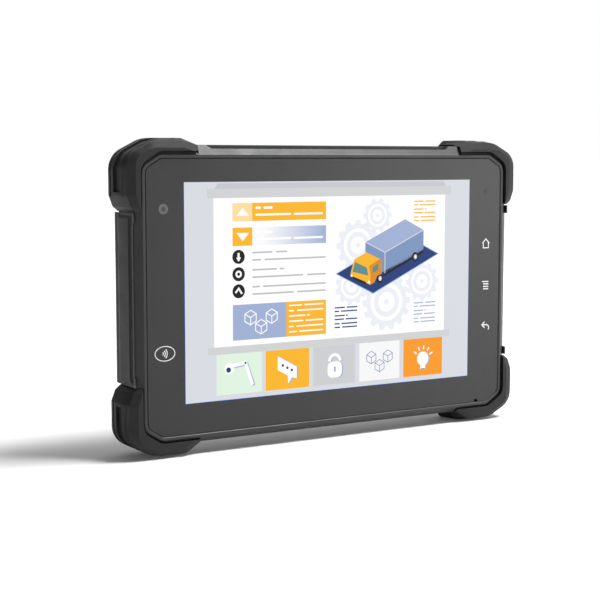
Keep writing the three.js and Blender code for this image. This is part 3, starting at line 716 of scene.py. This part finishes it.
# ---- Small pieces ----
def make_screw(node):
    """A pan-head screw seen from the back, with a six-lobed drive."""
    c = centre(node)
    top = BACK - 0.6
    rings = ((1.1, 6), (1.1, 1.9), (2.3, 1.85), (2.3, 0.5), (2.05, 0.12), (1.6, 0))  # radius, below the top
    head = turned_y(node + "_head", c.x, c.z, [(radius, top - below) for radius, below in rings])
    lobes = []
    for k in range(36):
        angle = 2 * math.pi * k / 36
        reach = 1.0 + 0.16 * math.cos(6 * angle)
        lobes.append(Vector((c.x + reach * math.cos(angle), c.z + reach * math.sin(angle))))
    screw = cut(head, slab("drive", lobes, top - 1.1, top + 1))
    place(finish_edges(screw, 0.05), "steel", [node])


def make_cover_screw(node):
    """A screw of the expansion cover, with a six-sided drive."""
    c = centre(node)
    depth = c.y - BEZEL_Y
    out = box_mm(node)[1].x
    rings = ((3.4, 1.1), (1.2, 1.1), (1.15, 1.9), (0.35, 1.9), (0.1, 1.7), (0, 1.3))  # below the top, radius
    head = turned_x(node + "_head", depth, c.z, [(out - below, radius) for below, radius in rings])
    screw = cut(head, turned_x("drive", depth, c.z, ((out - 0.7, 0.85), (out + 1, 0.85)), 6))
    place(finish_edges(screw, 0.05), "steel", [node])


def make_insert(node):
    """A knurled brass insert with thread grooves in its bore."""
    c = centre(node)
    teeth, turns, pitch, crest, root = 30, 7, 0.7, 1.68, 1.98
    valleys, flange = (disc(c.x, c.z, radius, 2 * teeth) for radius in (2.82, 3.0))
    knurl = [(flange if k % 2 else valleys)[k] for k in range(2 * teeth)]
    sleeve = loft(node + "_sleeve", (knurl, BACK - 6.4), (knurl, BACK - 1.2), (flange, BACK - 1.1),
                  (flange, BACK - 0.1))
    rings = []
    for k in range(turns):
        depth = BACK - 5.4 + pitch * k
        rings += [(crest, depth), (root, depth + pitch / 2)]
    rings += [(crest, BACK - 0.5), (2.2, BACK + 0.05), (2.2, BACK + 1)]
    place(finish_edges(cut(sleeve, turned_y("bore", c.x, c.z, rings))), "brass", [node])


def key_marks(key, x, top):
    """The raised symbol on a key: three short bars, a ring, a minus or a plus."""
    middle = sum(KEY_D) / 2

    def mark(at, half_x, half_d, sink=0.0):
        return block("mark", (at - half_x, at + half_x), (middle - half_d, middle + half_d),
                     (top - 0.5 - sink, top - sink))
    if key == "function_key":
        return [mark(x + 1.5 * i, 0.25, 0.9) for i in (-1, 0, 1)]
    if key == "power_key":
        ring = bar_z("ring", x, middle, 1.5, top - 0.5, top, 32)
        return [cut(ring, bar_z("hole", x, middle, 1.05, top - 1, top + 1, 32))]
    bars = [mark(x, 1.5, 0.25)]
    if key == "volume_up_key":
        bars.append(mark(x, 0.25, 1.5, 0.02))
    return bars


def make_key(node):
    """A rubber key cap with rounded shoulders and a raised mark."""
    x = centre(node).x
    low, top = (corner.z for corner in box_mm(node))
    (d0, d1), half = KEY_D, KEY_HALF

    def ring(z, by):
        return [(p.x, p.y, z) for p in rectangle(x - half + by, x + half - by, d0 + by, d1 - by, 1.6)]
    rings = (ring(low, 0), ring(top - 0.75, 0), ring(top - 0.35, 0.18), ring(top - 0.2, 0.5))
    cap = skin(node + "_cap", rings)
    flange = block("flange", (x - half - 1, x + half + 1), (d0 - 1, d1 + 1), (low, low + 0.8))
    cap = join(cap, flange, *key_marks(node, x, top))
    place(finish_edges(cap, 0.08, 2, 30), "bumper", [node], node)


def make_dock():
    """The dock connector: a moulded face with two rows of gold contacts in wells."""
    x_span, _, z_span = node_box("dock_connector")
    face = slab("dock_face", rectangle(*x_span, *z_span, 2), BACK - 3.2, BACK - 0.8)
    pin_rings = ((0.55, BACK - 2.0), (0.55, BACK - 1.0), (0.3, BACK - 0.82))
    wells, pins = [], []
    for i in range(8):
        for row in (-1, 1):
            x, z = sum(x_span) / 2 + (i - 3.5) * 3.0, sum(z_span) / 2 + row * 1.3
            wells.append(slab("well", disc(x, z, 0.85), BACK - 1.2, BACK))
            pins.append(turned_y("pin", x, z, pin_rings, 16))
    place(finish_edges(cut(face, *wells), 0.12, 2, 30), "seal", ["dock_connector"])
    place(finish_edges(merge("dock_contacts", pins)), "brass")


def merge(name, objects):
    """Several separate solids as one piece."""
    whole = bmesh.new()
    for obj in objects:
        whole.from_mesh(obj.data)
        bpy.data.objects.remove(obj)
    mesh = bpy.data.meshes.new(name)
    whole.to_mesh(mesh)
    whole.free()
    return add_object(name, mesh)


def make_vent():
    """The pressure vent's round cap, with radial breathing slots."""
    c = centre("pressure_vent")
    cap = turned_y("vent_cap", c.x, c.z, ((3.2, BACK - 1.6), (3.2, BACK - 0.6), (2.9, BACK - 0.3)))
    slots = []
    for k in range(6):
        outline = rectangle(1.1, 2.4, -0.22, 0.22, 0.2)
        turn = Matrix.Rotation(math.pi * k / 3, 2)
        slots.append(slab("slot", [turn @ p + Vector((c.x, c.z)) for p in outline], BACK - 0.9, BACK + 1))
    place(finish_edges(cut(cap, *slots), 0.06), "seal", ["pressure_vent"])


def keep_cad_nodes():
    """Every CAD node gets its slot's material."""
    subparts = {row["node"]: row["material_slot"] for row in frame["record"]["subparts"]}
    for node, obj in frame["nodes"].items():
        obj.data.materials.clear()
        obj.data.materials.append(SLOTS[subparts[node]])


# ---- Marks and the lit picture ----
LAYER = 0.03  # each printed layer stands this far in front of the one behind


class Sheet:
    """Thin closed prints on the glass, gathered by colour; points are millimetres from an origin."""

    def __init__(self, x, z):
        self.x, self.z = x, z
        self.inks = {}

    def solid(self, ink, layer, outer, inner=None):
        """A print with an outline, and with a hole if inner has as many points."""
        points, faces = self.inks.setdefault(ink, ([], []))
        front = GLASS_FRONT - LAYER * (layer + 1)
        base, n = len(points), len(outer)
        for loop in (outer,) if inner is None else (outer, inner):
            for depth in (front, front + 0.8 * LAYER):
                points.extend((self.x + p[0], depth, self.z + p[1]) for p in loop)

        def join_rows(one, other):
            a, b = base + one * n, base + other * n
            faces.extend([a + k, a + (k + 1) % n, b + (k + 1) % n, b + k] for k in range(n))
        join_rows(0, 1)
        if inner is None:
            faces.append([base + k for k in reversed(range(n))])
            faces.append([base + n + k for k in range(n)])
            return
        for one, other in ((3, 2), (2, 0), (1, 3)):
            join_rows(one, other)

    def area(self, ink, layer, x0, x1, z0, z1):
        self.solid(ink, layer, [(x0, z0), (x1, z0), (x1, z1), (x0, z1)])

    def dash(self, ink, layer, x0, x1, z, width=0.8):
        self.solid(ink, layer, rectangle(x0, x1, z - width / 2, z + width / 2, width * 0.48))

    def line(self, ink, layer, points, width, closed=False):
        """A line of even width with mitred corners."""
        pts = [Vector(p) for p in points]
        n = len(pts)
        left, right = [], []
        for i, p in enumerate(pts):
            before = (p - pts[i - 1]) if closed or i else (pts[1] - p)
            after = (pts[(i + 1) % n] - p) if closed or i < n - 1 else before
            a, b = before.normalized(), after.normalized()
            side = Vector((-(a + b).y, (a + b).x)).normalized()
            reach = width / 2 / max(side.dot(Vector((-a.y, a.x))), 0.35)
            left.append(p + side * reach)
            right.append(p - side * reach)
        if closed:
            outer, inner = (left, right) if area_of(left) > area_of(right) else (right, left)
            self.solid(ink, layer, outer, inner)
        else:
            self.solid(ink, layer, left + right[::-1])

    def finish(self, prefix, inks, slot):
        for ink, (points, faces) in self.inks.items():
            place(build(f"{prefix}_{ink}", points, faces), slot, material=inks[ink])


def area_of(loop):
    return abs(sum(loop[i - 1].cross(p) for i, p in enumerate(loop))) / 2


def arc(x, z, radius, start, end, steps=14):
    angles = [math.radians(start + (end - start) * k / steps) for k in range(steps + 1)]
    return [(x + radius * math.cos(a), z + radius * math.sin(a)) for a in angles]


SCREEN_INKS = {
    "ground": (216, 220, 226), "white": (255, 255, 255), "shelf": (198, 200, 203), "bar": (209, 210, 212),
    "amber": (250, 183, 40), "pale_amber": (253, 222, 160), "orange": (250, 155, 38), "black": (28, 28, 32),
    "rule": (190, 192, 194), "blue": (160, 176, 212), "lavender": (236, 238, 246), "navy": (34, 60, 122),
    "mid_blue": (126, 150, 190), "sky": (160, 190, 222), "green": (224, 243, 224),
    "tile_gray": (205, 206, 209), "bar_white": (246, 246, 247), "cab_dark": (222, 140, 24),
    "screen_glass": (96, 140, 138), "rim_blue": (52, 92, 190), "soft_blue": (170, 184, 216),
}
SCREEN_GLOW = 1.0
PAGE_X, PAGE_Z = (-75.9, 74.9), (13.4, 107.6)  # the lit area; its z from the window's lower edge


def screen_picture():
    """The lit picture: a generic work-order page with a truck, gears, lists and a row of tiles.

    Its places and those in the functions below are millimetres from the page's lower left corner.
    """
    width, height = PAGE_X[1] - PAGE_X[0], PAGE_Z[1] - PAGE_Z[0]
    page = Sheet(PAGE_X[0], WINDOW_LOW + PAGE_Z[0])
    page.area("rim_blue", 0, -0.25, width + 0.2, -0.25, height - 0.3)
    page.area("ground", 1, 0, width, 0, height)
    page.solid("shelf", 2, [(14.4, 91.3), (136.9, 91.3), (135.7, 93.6), (15.8, 93.6)])
    page.area("bar", 2, 10.7, 140, 87.3, 91.3)
    page.area("bar", 2, 10.7, 139.6, 20.0, 23.2)
    page.area("white", 2, 13.8, 136.4, 23.2, 87.3)
    list_column(page)
    cards(page)
    gears(page)
    truck(page)
    text_blocks(page)
    tiles(page)
    return page


def list_column(page):
    """The two headed bars and the three list rows at the left of the page."""
    page.area("pale_amber", 3, 22.9, 32.6, 77.2, 85.1)
    page.area("amber", 3, 32.6, 70.3, 77.2, 85.1)
    page.solid("white", 4, [(24.8, 79.6), (31.0, 79.6), (27.9, 83.0)])
    page.area("amber", 3, 22.9, 32.6, 66.6, 74.5)
    page.solid("white", 4, [(24.8, 72.2), (27.9, 68.6), (31.0, 72.2)])
    for z in (82.9, 72.3):
        page.dash("white", 4, 34.2, 36.9, z, 1.0)
        page.dash("white", 4, 38.2, 42.8, z, 1.0)
        page.dash("white", 4, 34.2, 52.1, z - 3.0, 0.9)
        page.dash("white", 4, 53.5, 68.6, z - 3.0, 0.9)
    rows = ((61.9, (32.5, 42.6), (44.4, 50.1), (32.5, 37.0), (38.6, 70.2)),
            (54.4, (32.5, 44.9), (46.2, 48.6), (32.5, 58.3), (60.4, 70.2)),
            (47.0, (32.5, 36.4), (37.9, 70.2), (32.5, 53.6), (55.3, 70.2)))
    for z, *spans in rows:
        page.solid("black", 3, disc(25.8, z, 3.05, 40))
        for k, span in enumerate(spans):
            page.dash("rule", 3, *span, z + (1.6 if k < 2 else -1.6), 0.75)
    page.line("white", 4, [(25.8, 63.6), (25.8, 60.2)], 1.0)
    page.solid("white", 4, [(24.6, 61.6), (27.0, 61.6), (25.8, 59.8)])
    page.line("white", 4, arc(25.8, 54.4, 1.15, 0, 348, 24)[:-1], 0.85, True)
    page.line("white", 4, [(24.2, 46.3), (25.8, 48.2), (27.4, 45.8)], 0.8)


def cube(page, ink, layer, x, z, size, width):
    """A small line-drawn box."""
    a, b = size * 0.88, size * 0.5
    outline = [(x, z + size), (x + a, z + b), (x + a, z - b), (x, z - size), (x - a, z - b), (x - a, z + b)]
    page.line(ink, layer, outline, width, True)
    for end in ((x + a, z + b), (x - a, z + b), (x, z - size)):
        page.line(ink, layer + 1, [(x, z), end], width)


def cards(page):
    """The blue card with three boxes and the amber card with its lines."""
    page.area("blue", 3, 22.9, 49.6, 25.6, 41.1)
    page.area("amber", 3, 49.6, 70.3, 25.6, 41.1)
    for x, z in ((31.6, 35.2), (42.2, 35.2), (36.9, 30.9)):
        cube(page, "white", 4, x, z, 3.2, 0.42)
    for k, (a, b) in enumerate(((6.8, 8.0), (2.6, 4.2), (8.6, 9.4), (7.4, 8.6), (2.4, 3.8), (4.2, 5.2))):
        z = 39.4 - 2.35 * k
        page.dash("white", 4, 51.0, 51.0 + a, z, 0.62)
        page.dash("white", 4, 51.0 + b, 68.9 if k != 2 else 51.0 + b + 1.6, z, 0.62)


def gear_outline(x, z, radius, teeth):
    outline = []
    for k in range(teeth):
        for share, reach in ((-0.30, 0.84), (-0.20, 1.0), (0.20, 1.0), (0.30, 0.84)):
            angle = 2 * math.pi * (k + share) / teeth
            outline.append((x + radius * reach * math.cos(angle), z + radius * reach * math.sin(angle)))
    return outline


def gears(page):
    """Five pale gears behind the truck, each with a hub ring and a dot."""
    for x, z, radius, teeth in ((98.0, 78.3, 7.9, 10), (87.4, 65.0, 11.6, 12), (103.3, 38.3, 13.4, 14),
                                (123.4, 47.0, 9.4, 12), (84.0, 46.6, 8.8, 11)):
        outer, web, hub = (disc(x, z, radius * share, 4 * teeth) for share in (0.66, 0.52, 0.34))
        page.solid("lavender", 3, gear_outline(x, z, radius, teeth), outer)
        page.solid("lavender", 3, web, hub)
        page.solid("lavender", 3, disc(x, z, radius * 0.1, 16))


def truck(page):
    """A plain box truck on a dark mat, drawn in even projection."""
    mat = (("sky", 4, [(75.2, 52.4), (95.8, 42.3), (133.0, 59.6), (112.4, 69.7)]),
           ("navy", 5, [(76.0, 52.4), (95.8, 42.8), (132.2, 59.6), (112.4, 69.2)]),
           ("black", 6, [(101.5, 50.2), (124.0, 60.4), (124.0, 62.4), (101.5, 52.6)]))
    wheels = []
    for x, z in ((99.4, 49.3), (119.2, 58.6)):
        wheels += [("black", 7, oval(x, z, 1.75, 2.15, 28)), ("rule", 8, oval(x + 0.2, z, 0.95, 1.2, 20)),
                   ("white", 9, oval(x + 0.2, z, 0.45, 0.6, 16))]
    box = (("blue", 6, [(91.4, 66.3), (113.4, 76.2), (124.0, 71.0), (102.2, 61.2)]),
           ("mid_blue", 6, [(102.2, 61.2), (124.0, 71.0), (124.0, 61.8), (102.2, 51.6)]),
           ("mid_blue", 6, [(91.4, 66.3), (102.2, 61.2), (102.2, 51.6), (91.4, 57.0)]))
    cab = (("amber", 8, [(85.3, 58.6), (92.0, 61.6), (99.4, 58.3), (93.4, 55.2)]),
           ("amber", 8, [(83.4, 52.6), (85.3, 58.6), (93.4, 55.2), (94.2, 51.2), (94.2, 46.6),
                         (83.4, 51.0)]),
           ("cab_dark", 8, [(94.2, 46.6), (94.2, 51.2), (93.4, 55.2), (99.4, 58.3), (100.4, 57.2),
                            (100.4, 51.4), (98.0, 50.6), (96.4, 47.6)]),
           ("screen_glass", 9, [(84.4, 53.0), (85.7, 57.4), (92.2, 54.6), (93.0, 50.9)]),
           ("screen_glass", 9, [(95.2, 51.9), (95.6, 54.9), (98.4, 56.4), (98.6, 53.3)]),
           ("black", 9, [(84.6, 50.9), (84.6, 49.9), (91.8, 46.9), (91.8, 48.0)]),
           ("white", 9, disc(83.9, 51.3, 0.55, 12)), ("white", 9, disc(93.4, 47.9, 0.65, 12)))
    for shape in (*mat, *wheels, *box, *cab):
        page.solid(*shape)
    page.line("ground", 7, [(91.4, 66.3), (102.2, 61.2), (124.0, 71.0)], 0.4)
    page.line("ground", 8, [(102.2, 61.2), (102.2, 51.6)], 0.4)


def text_blocks(page):
    """Three blocks of dashes that stand in for captions."""
    pattern = ((0, 0.45, 0.53, 1), (0, 0.2, 0.27, 1), (0, 0.45, 0.5, 0.58), (0, 0.42, 0.48, 1),
               (0, 0.22, 0.3, 1), (0, 0.25, 0.33, 1))
    for ink, x0, x1, top in (("amber", 118.4, 130.8, 84.4), ("navy", 74.9, 87.2, 37.0),
                             ("soft_blue", 118.7, 131.2, 36.9)):
        for k, (a, b, c, d) in enumerate(pattern):
            z = top - 1.65 * k - 0.35 * (k // 2)
            span = x1 - x0
            page.dash(ink, 4, x0 + a * span, x0 + b * span, z, 0.6)
            page.dash(ink, 4, x0 + c * span, x0 + d * span, z, 0.6)


def tiles(page):
    """The bottom row of five tiles with plain symbols."""
    for ink, x in (("green", 14.8), ("amber", 39.1), ("tile_gray", 63.6), ("bar_white", 88.4),
                   ("orange", 113.1)):
        page.area(ink, 3, x, x + 22.4, 2.2, 19.9)
    page.line("white", 5, [(21.0, 14.4), (29.0, 15.6), (32.4, 5.6)], 1.5)
    page.line("soft_blue", 4, [(21.4, 13.8), (29.6, 15.2), (33.2, 5.2)], 1.5)
    page.solid("white", 6, disc(21.0, 13.6, 2.4, 24))
    page.solid("navy", 7, disc(20.6, 13.0, 1.15, 20))
    page.solid("navy", 7, disc(28.9, 15.5, 0.5, 12))
    bubble = [(45.2, 17.2), (55.0, 11.8), (55.0, 6.6), (52.6, 7.2), (50.6, 4.6), (50.3, 8.2), (45.2, 11.0)]
    page.solid("blue", 4, [(x + 0.7, z - 0.1) for x, z in bubble])
    page.solid("white", 5, bubble)
    for x, z in ((47.8, 12.9), (50.1, 11.7), (52.4, 10.5)):
        page.solid("navy", 6, disc(x, z, 0.62, 14))
    page.line("blue", 4, arc(75.7, 12.6, 2.9, 0, 180), 1.4)
    page.line("white", 5, arc(75.1, 12.8, 2.9, 0, 180), 1.4)
    page.solid("blue", 4, rectangle(71.9, 79.6, 5.0, 12.4, 2.6))
    page.solid("white", 5, rectangle(71.2, 78.9, 5.2, 12.6, 2.6))
    page.line("blue", 6, [(75.1, 10.3), (75.1, 7.9)], 0.9)
    for x, z in ((95.0, 12.9), (104.2, 12.9), (99.6, 8.8)):
        cube(page, "mid_blue", 5, x, z, 2.9, 0.34)
    page.solid("soft_blue", 4, disc(124.9, 10.0, 3.3, 28))
    page.solid("white", 5, disc(124.2, 10.3, 3.3, 28))
    page.solid("white", 6, rectangle(122.8, 125.7, 4.9, 8.4, 0.8))
    page.line("navy", 7, [(123.1, 5.3), (125.4, 5.3)], 0.5)
    for angle in (25, 55, 85, 115, 145):
        a = math.radians(angle)
        page.line("white", 5, [(124.2 + 4.3 * math.cos(a), 10.3 + 4.3 * math.sin(a)),
                               (124.2 + 6.2 * math.cos(a), 10.3 + 6.2 * math.sin(a))], 0.7)


def gradient_bar(page):
    """The second headed bar, which fades from near white to blue."""
    bar = Sheet(page.x, page.z)
    bar.area("fade", 3, 32.6, 70.3, 66.6, 74.5)
    paint = Paint("ink_fade", 0.4)
    paint.shader.inputs["Base Color"].default_value = (0, 0, 0, 1)
    x = paint.add("ShaderNodeSeparateXYZ")
    paint.links.new(paint.place, x.inputs["Vector"])
    share = paint.scaled(x.outputs["X"], 0, 1, ((page.x + 38) * MM, (page.x + 69) * MM))
    fade = paint.mix(share, linear((243, 243, 244)), linear((148, 166, 206)))
    paint.links.new(fade, paint.shader.inputs["Emission Color"])
    paint.shader.inputs["Emission Strength"].default_value = SCREEN_GLOW
    bar.finish("screen", {"fade": paint.material}, "display")


def make_screen():
    page = screen_picture()
    inks = {name: flat_ink("ink_" + name, color, SCREEN_GLOW) for name, color in SCREEN_INKS.items()}
    page.finish("screen", inks, "display")
    gradient_bar(page)


MARK_INKS = {
    "lens_ring": ((104, 104, 106), 0.4), "lens": ((84, 84, 86), 0.2), "lens_core": ((66, 66, 70), 0.1),
    "symbol": ((225, 226, 228), 0.4), "dot": ((58, 58, 60), 0.4), "led": ((78, 56, 56), 0.4),
}


def touch_keys(marks):
    """The symbols of the home, menu and back keys, from top to bottom."""
    x, z = 85.3, 77.1
    marks.line("symbol", 0, [(x - 2.1, z - 0.1), (x, z + 2.0), (x + 2.1, z - 0.1)], 0.45)
    walls = [(x - 1.6, z + 0.3), (x - 1.6, z - 2.3), (x + 1.6, z - 2.3), (x + 1.6, z + 0.3)]
    marks.line("symbol", 1, walls, 0.45)
    for k in range(4):
        marks.dash("symbol", 0, 85.4 - (1.4 if k else 2.1), 85.4 + 1.8, 58.5 - 1.2 * k, 0.5)
    marks.line("symbol", 0, [(85.2, 38.9), (83.5, 37.4), (85.2, 35.9)], 0.5)
    marks.line("symbol", 1, [(83.9, 37.4), (86.2, 37.4), *arc(86.2, 35.9, 1.5, 90, -40, 10)], 0.5)


def make_marks():
    """The camera, contactless mark, touch key symbols and sensor dots on the glass."""
    marks = Sheet(0, WINDOW_LOW)
    lens = (("lens_ring", 2.15, 40), ("lens", 1.15, 32), ("lens_core", 0.45, 20))
    for layer, (ink, radius, sides) in enumerate(lens):
        marks.solid(ink, layer, disc(-85.5, 96.5, radius, sides))
    marks.line("symbol", 0, oval(-85.4, 35.7, 4.6, 3.1, 48), 0.34, True)
    for radius in (1.0, 1.9, 2.8):
        marks.line("symbol", 1, arc(-87.2, 35.7, radius, -42, 42, 10), 0.42)
    touch_keys(marks)
    marks.solid("dot", 0, disc(85.1, 14.2, 0.8, 20))
    marks.solid("led", 0, disc(84.8, 102.1, 0.9, 20))
    inks = {name: flat_ink("ink_" + name, color, 0, rough) for name, (color, rough) in MARK_INKS.items()}
    marks.finish("mark", inks, "glass")


# ---- Studio, in metres ----
FLOOR_REACH = 30.0
ROOM_LIGHT_FROM, ROOM_SPREAD = (0.75, 0.62, 0.2), (0.2, 1.0)
ROOM_LIGHT = (0.04, 1.8)  # strength at the dark side and towards the light
CAMERA_PLACE, CAMERA_TURN, CAMERA_TILT = (-0.3282, -0.5297, 0.1259), math.radians(30.92), math.radians(5.86)


def make_floor():
    """A white floor that glows a little more with distance, as a lit studio sweep does."""
    mesh = bpy.data.meshes.new("floor")
    corners = [(x * FLOOR_REACH, y * FLOOR_REACH, 0) for x, y in ((-1, -1), (1, -1), (1, 1), (-1, 1))]
    mesh.from_pydata(corners, [], [(0, 1, 2, 3)])
    floor = add_object("floor", mesh)
    paint = Paint("studio_floor", 0.9, specular=0.1)
    paint.shader.inputs["Base Color"].default_value = (0.86, 0.86, 0.86, 1)
    away = paint.add("ShaderNodeVectorMath", operation="LENGTH")
    paint.links.new(paint.place, away.inputs[0])
    glow = paint.scaled(away.outputs["Value"], 0.05, 0.75, (0.22, 1.0))
    paint.links.new(paint.mix(glow, (0, 0, 0), (1, 1, 1)), paint.shader.inputs["Emission Color"])
    paint.shader.inputs["Emission Strength"].default_value = 1.0
    floor.data.materials.append(paint.material)
    floor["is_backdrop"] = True


def make_world():
    """White to the camera; to all else a room that is bright behind the right side, dark in front."""
    world = bpy.data.worlds.new("studio")
    bpy.context.scene.world = world
    world.use_nodes = True
    nodes, links = world.node_tree.nodes, world.node_tree.links
    seen, room = nodes["Background"], nodes.new("ShaderNodeBackground")
    seen.inputs["Color"].default_value = (1, 1, 1, 1)
    towards = nodes.new("ShaderNodeVectorMath")
    towards.operation = "DOT_PRODUCT"
    towards.inputs[1].default_value = ROOM_LIGHT_FROM
    span = nodes.new("ShaderNodeMapRange")
    for socket, value in zip(("From Min", "From Max", "To Min", "To Max"), (*ROOM_SPREAD, *ROOM_LIGHT)):
        span.inputs[socket].default_value = value
    links.new(nodes.new("ShaderNodeTexCoord").outputs["Generated"], towards.inputs[0])
    links.new(towards.outputs["Value"], span.inputs["Value"])
    links.new(span.outputs["Result"], room.inputs["Strength"])
    mixer, path = nodes.new("ShaderNodeMixShader"), nodes.new("ShaderNodeLightPath")
    links.new(path.outputs["Is Camera Ray"], mixer.inputs["Fac"])
    links.new(room.outputs["Background"], mixer.inputs[1])
    links.new(seen.outputs["Background"], mixer.inputs[2])
    links.new(mixer.outputs["Shader"], nodes["World Output"].inputs["Surface"])


def area_light(name, place_m, size, power):
    """A square lamp aimed at the middle of the object."""
    data = bpy.data.lights.new(name, "AREA")
    data.shape, data.size, data.energy = "SQUARE", size, power
    lamp = add_object(name, data)
    lamp.location = place_m
    lamp.rotation_euler = (Vector((0, 0, 0.07)) - Vector(place_m)).to_track_quat("-Z", "Y").to_euler()


def make_camera():
    data = bpy.data.cameras.new("camera")
    data.lens, data.sensor_width = 81.6, 36.0
    camera = add_object("camera", data)
    camera.location = CAMERA_PLACE
    level = math.cos(CAMERA_TILT)
    aim = Vector((math.sin(CAMERA_TURN) * level, math.cos(CAMERA_TURN) * level, -math.sin(CAMERA_TILT)))
    camera.rotation_mode = "QUATERNION"
    camera.rotation_quaternion = aim.to_track_quat("-Z", "Y")
    bpy.context.scene.camera = camera


keep_cad_nodes()
make_bezel()
make_glass()
for sign_x, across in zip(SIDES, ("left", "right")):
    for sign_z, along in ((1, "top"), (-1, "bottom")):
        make_bumper(sign_x, sign_z, f"{along}_{across}")
make_port_door()
make_expansion_cover()
make_housing()
for make, nodes in ((make_screw, SCREW_NODES), (make_cover_screw, COVER_SCREW_NODES),
                    (make_insert, INSERT_NODES), (make_key, KEYS)):
    for node in nodes:
        make(node)
make_dock()
make_vent()
make_screen()
make_marks()
make_floor()
make_world()
area_light("key", (0.46, -0.28, 1.14), 0.45, 22)
area_light("front_right", (0.98, -1.00, 0.25), 0.5, 5)
make_camera()
bpy.context.scene.view_settings.view_transform = "Standard"

boxes = {"cad": CAD_BOX, "visual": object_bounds()}
{name: [list(corner) for corner in box] for name, box in boxes.items()}
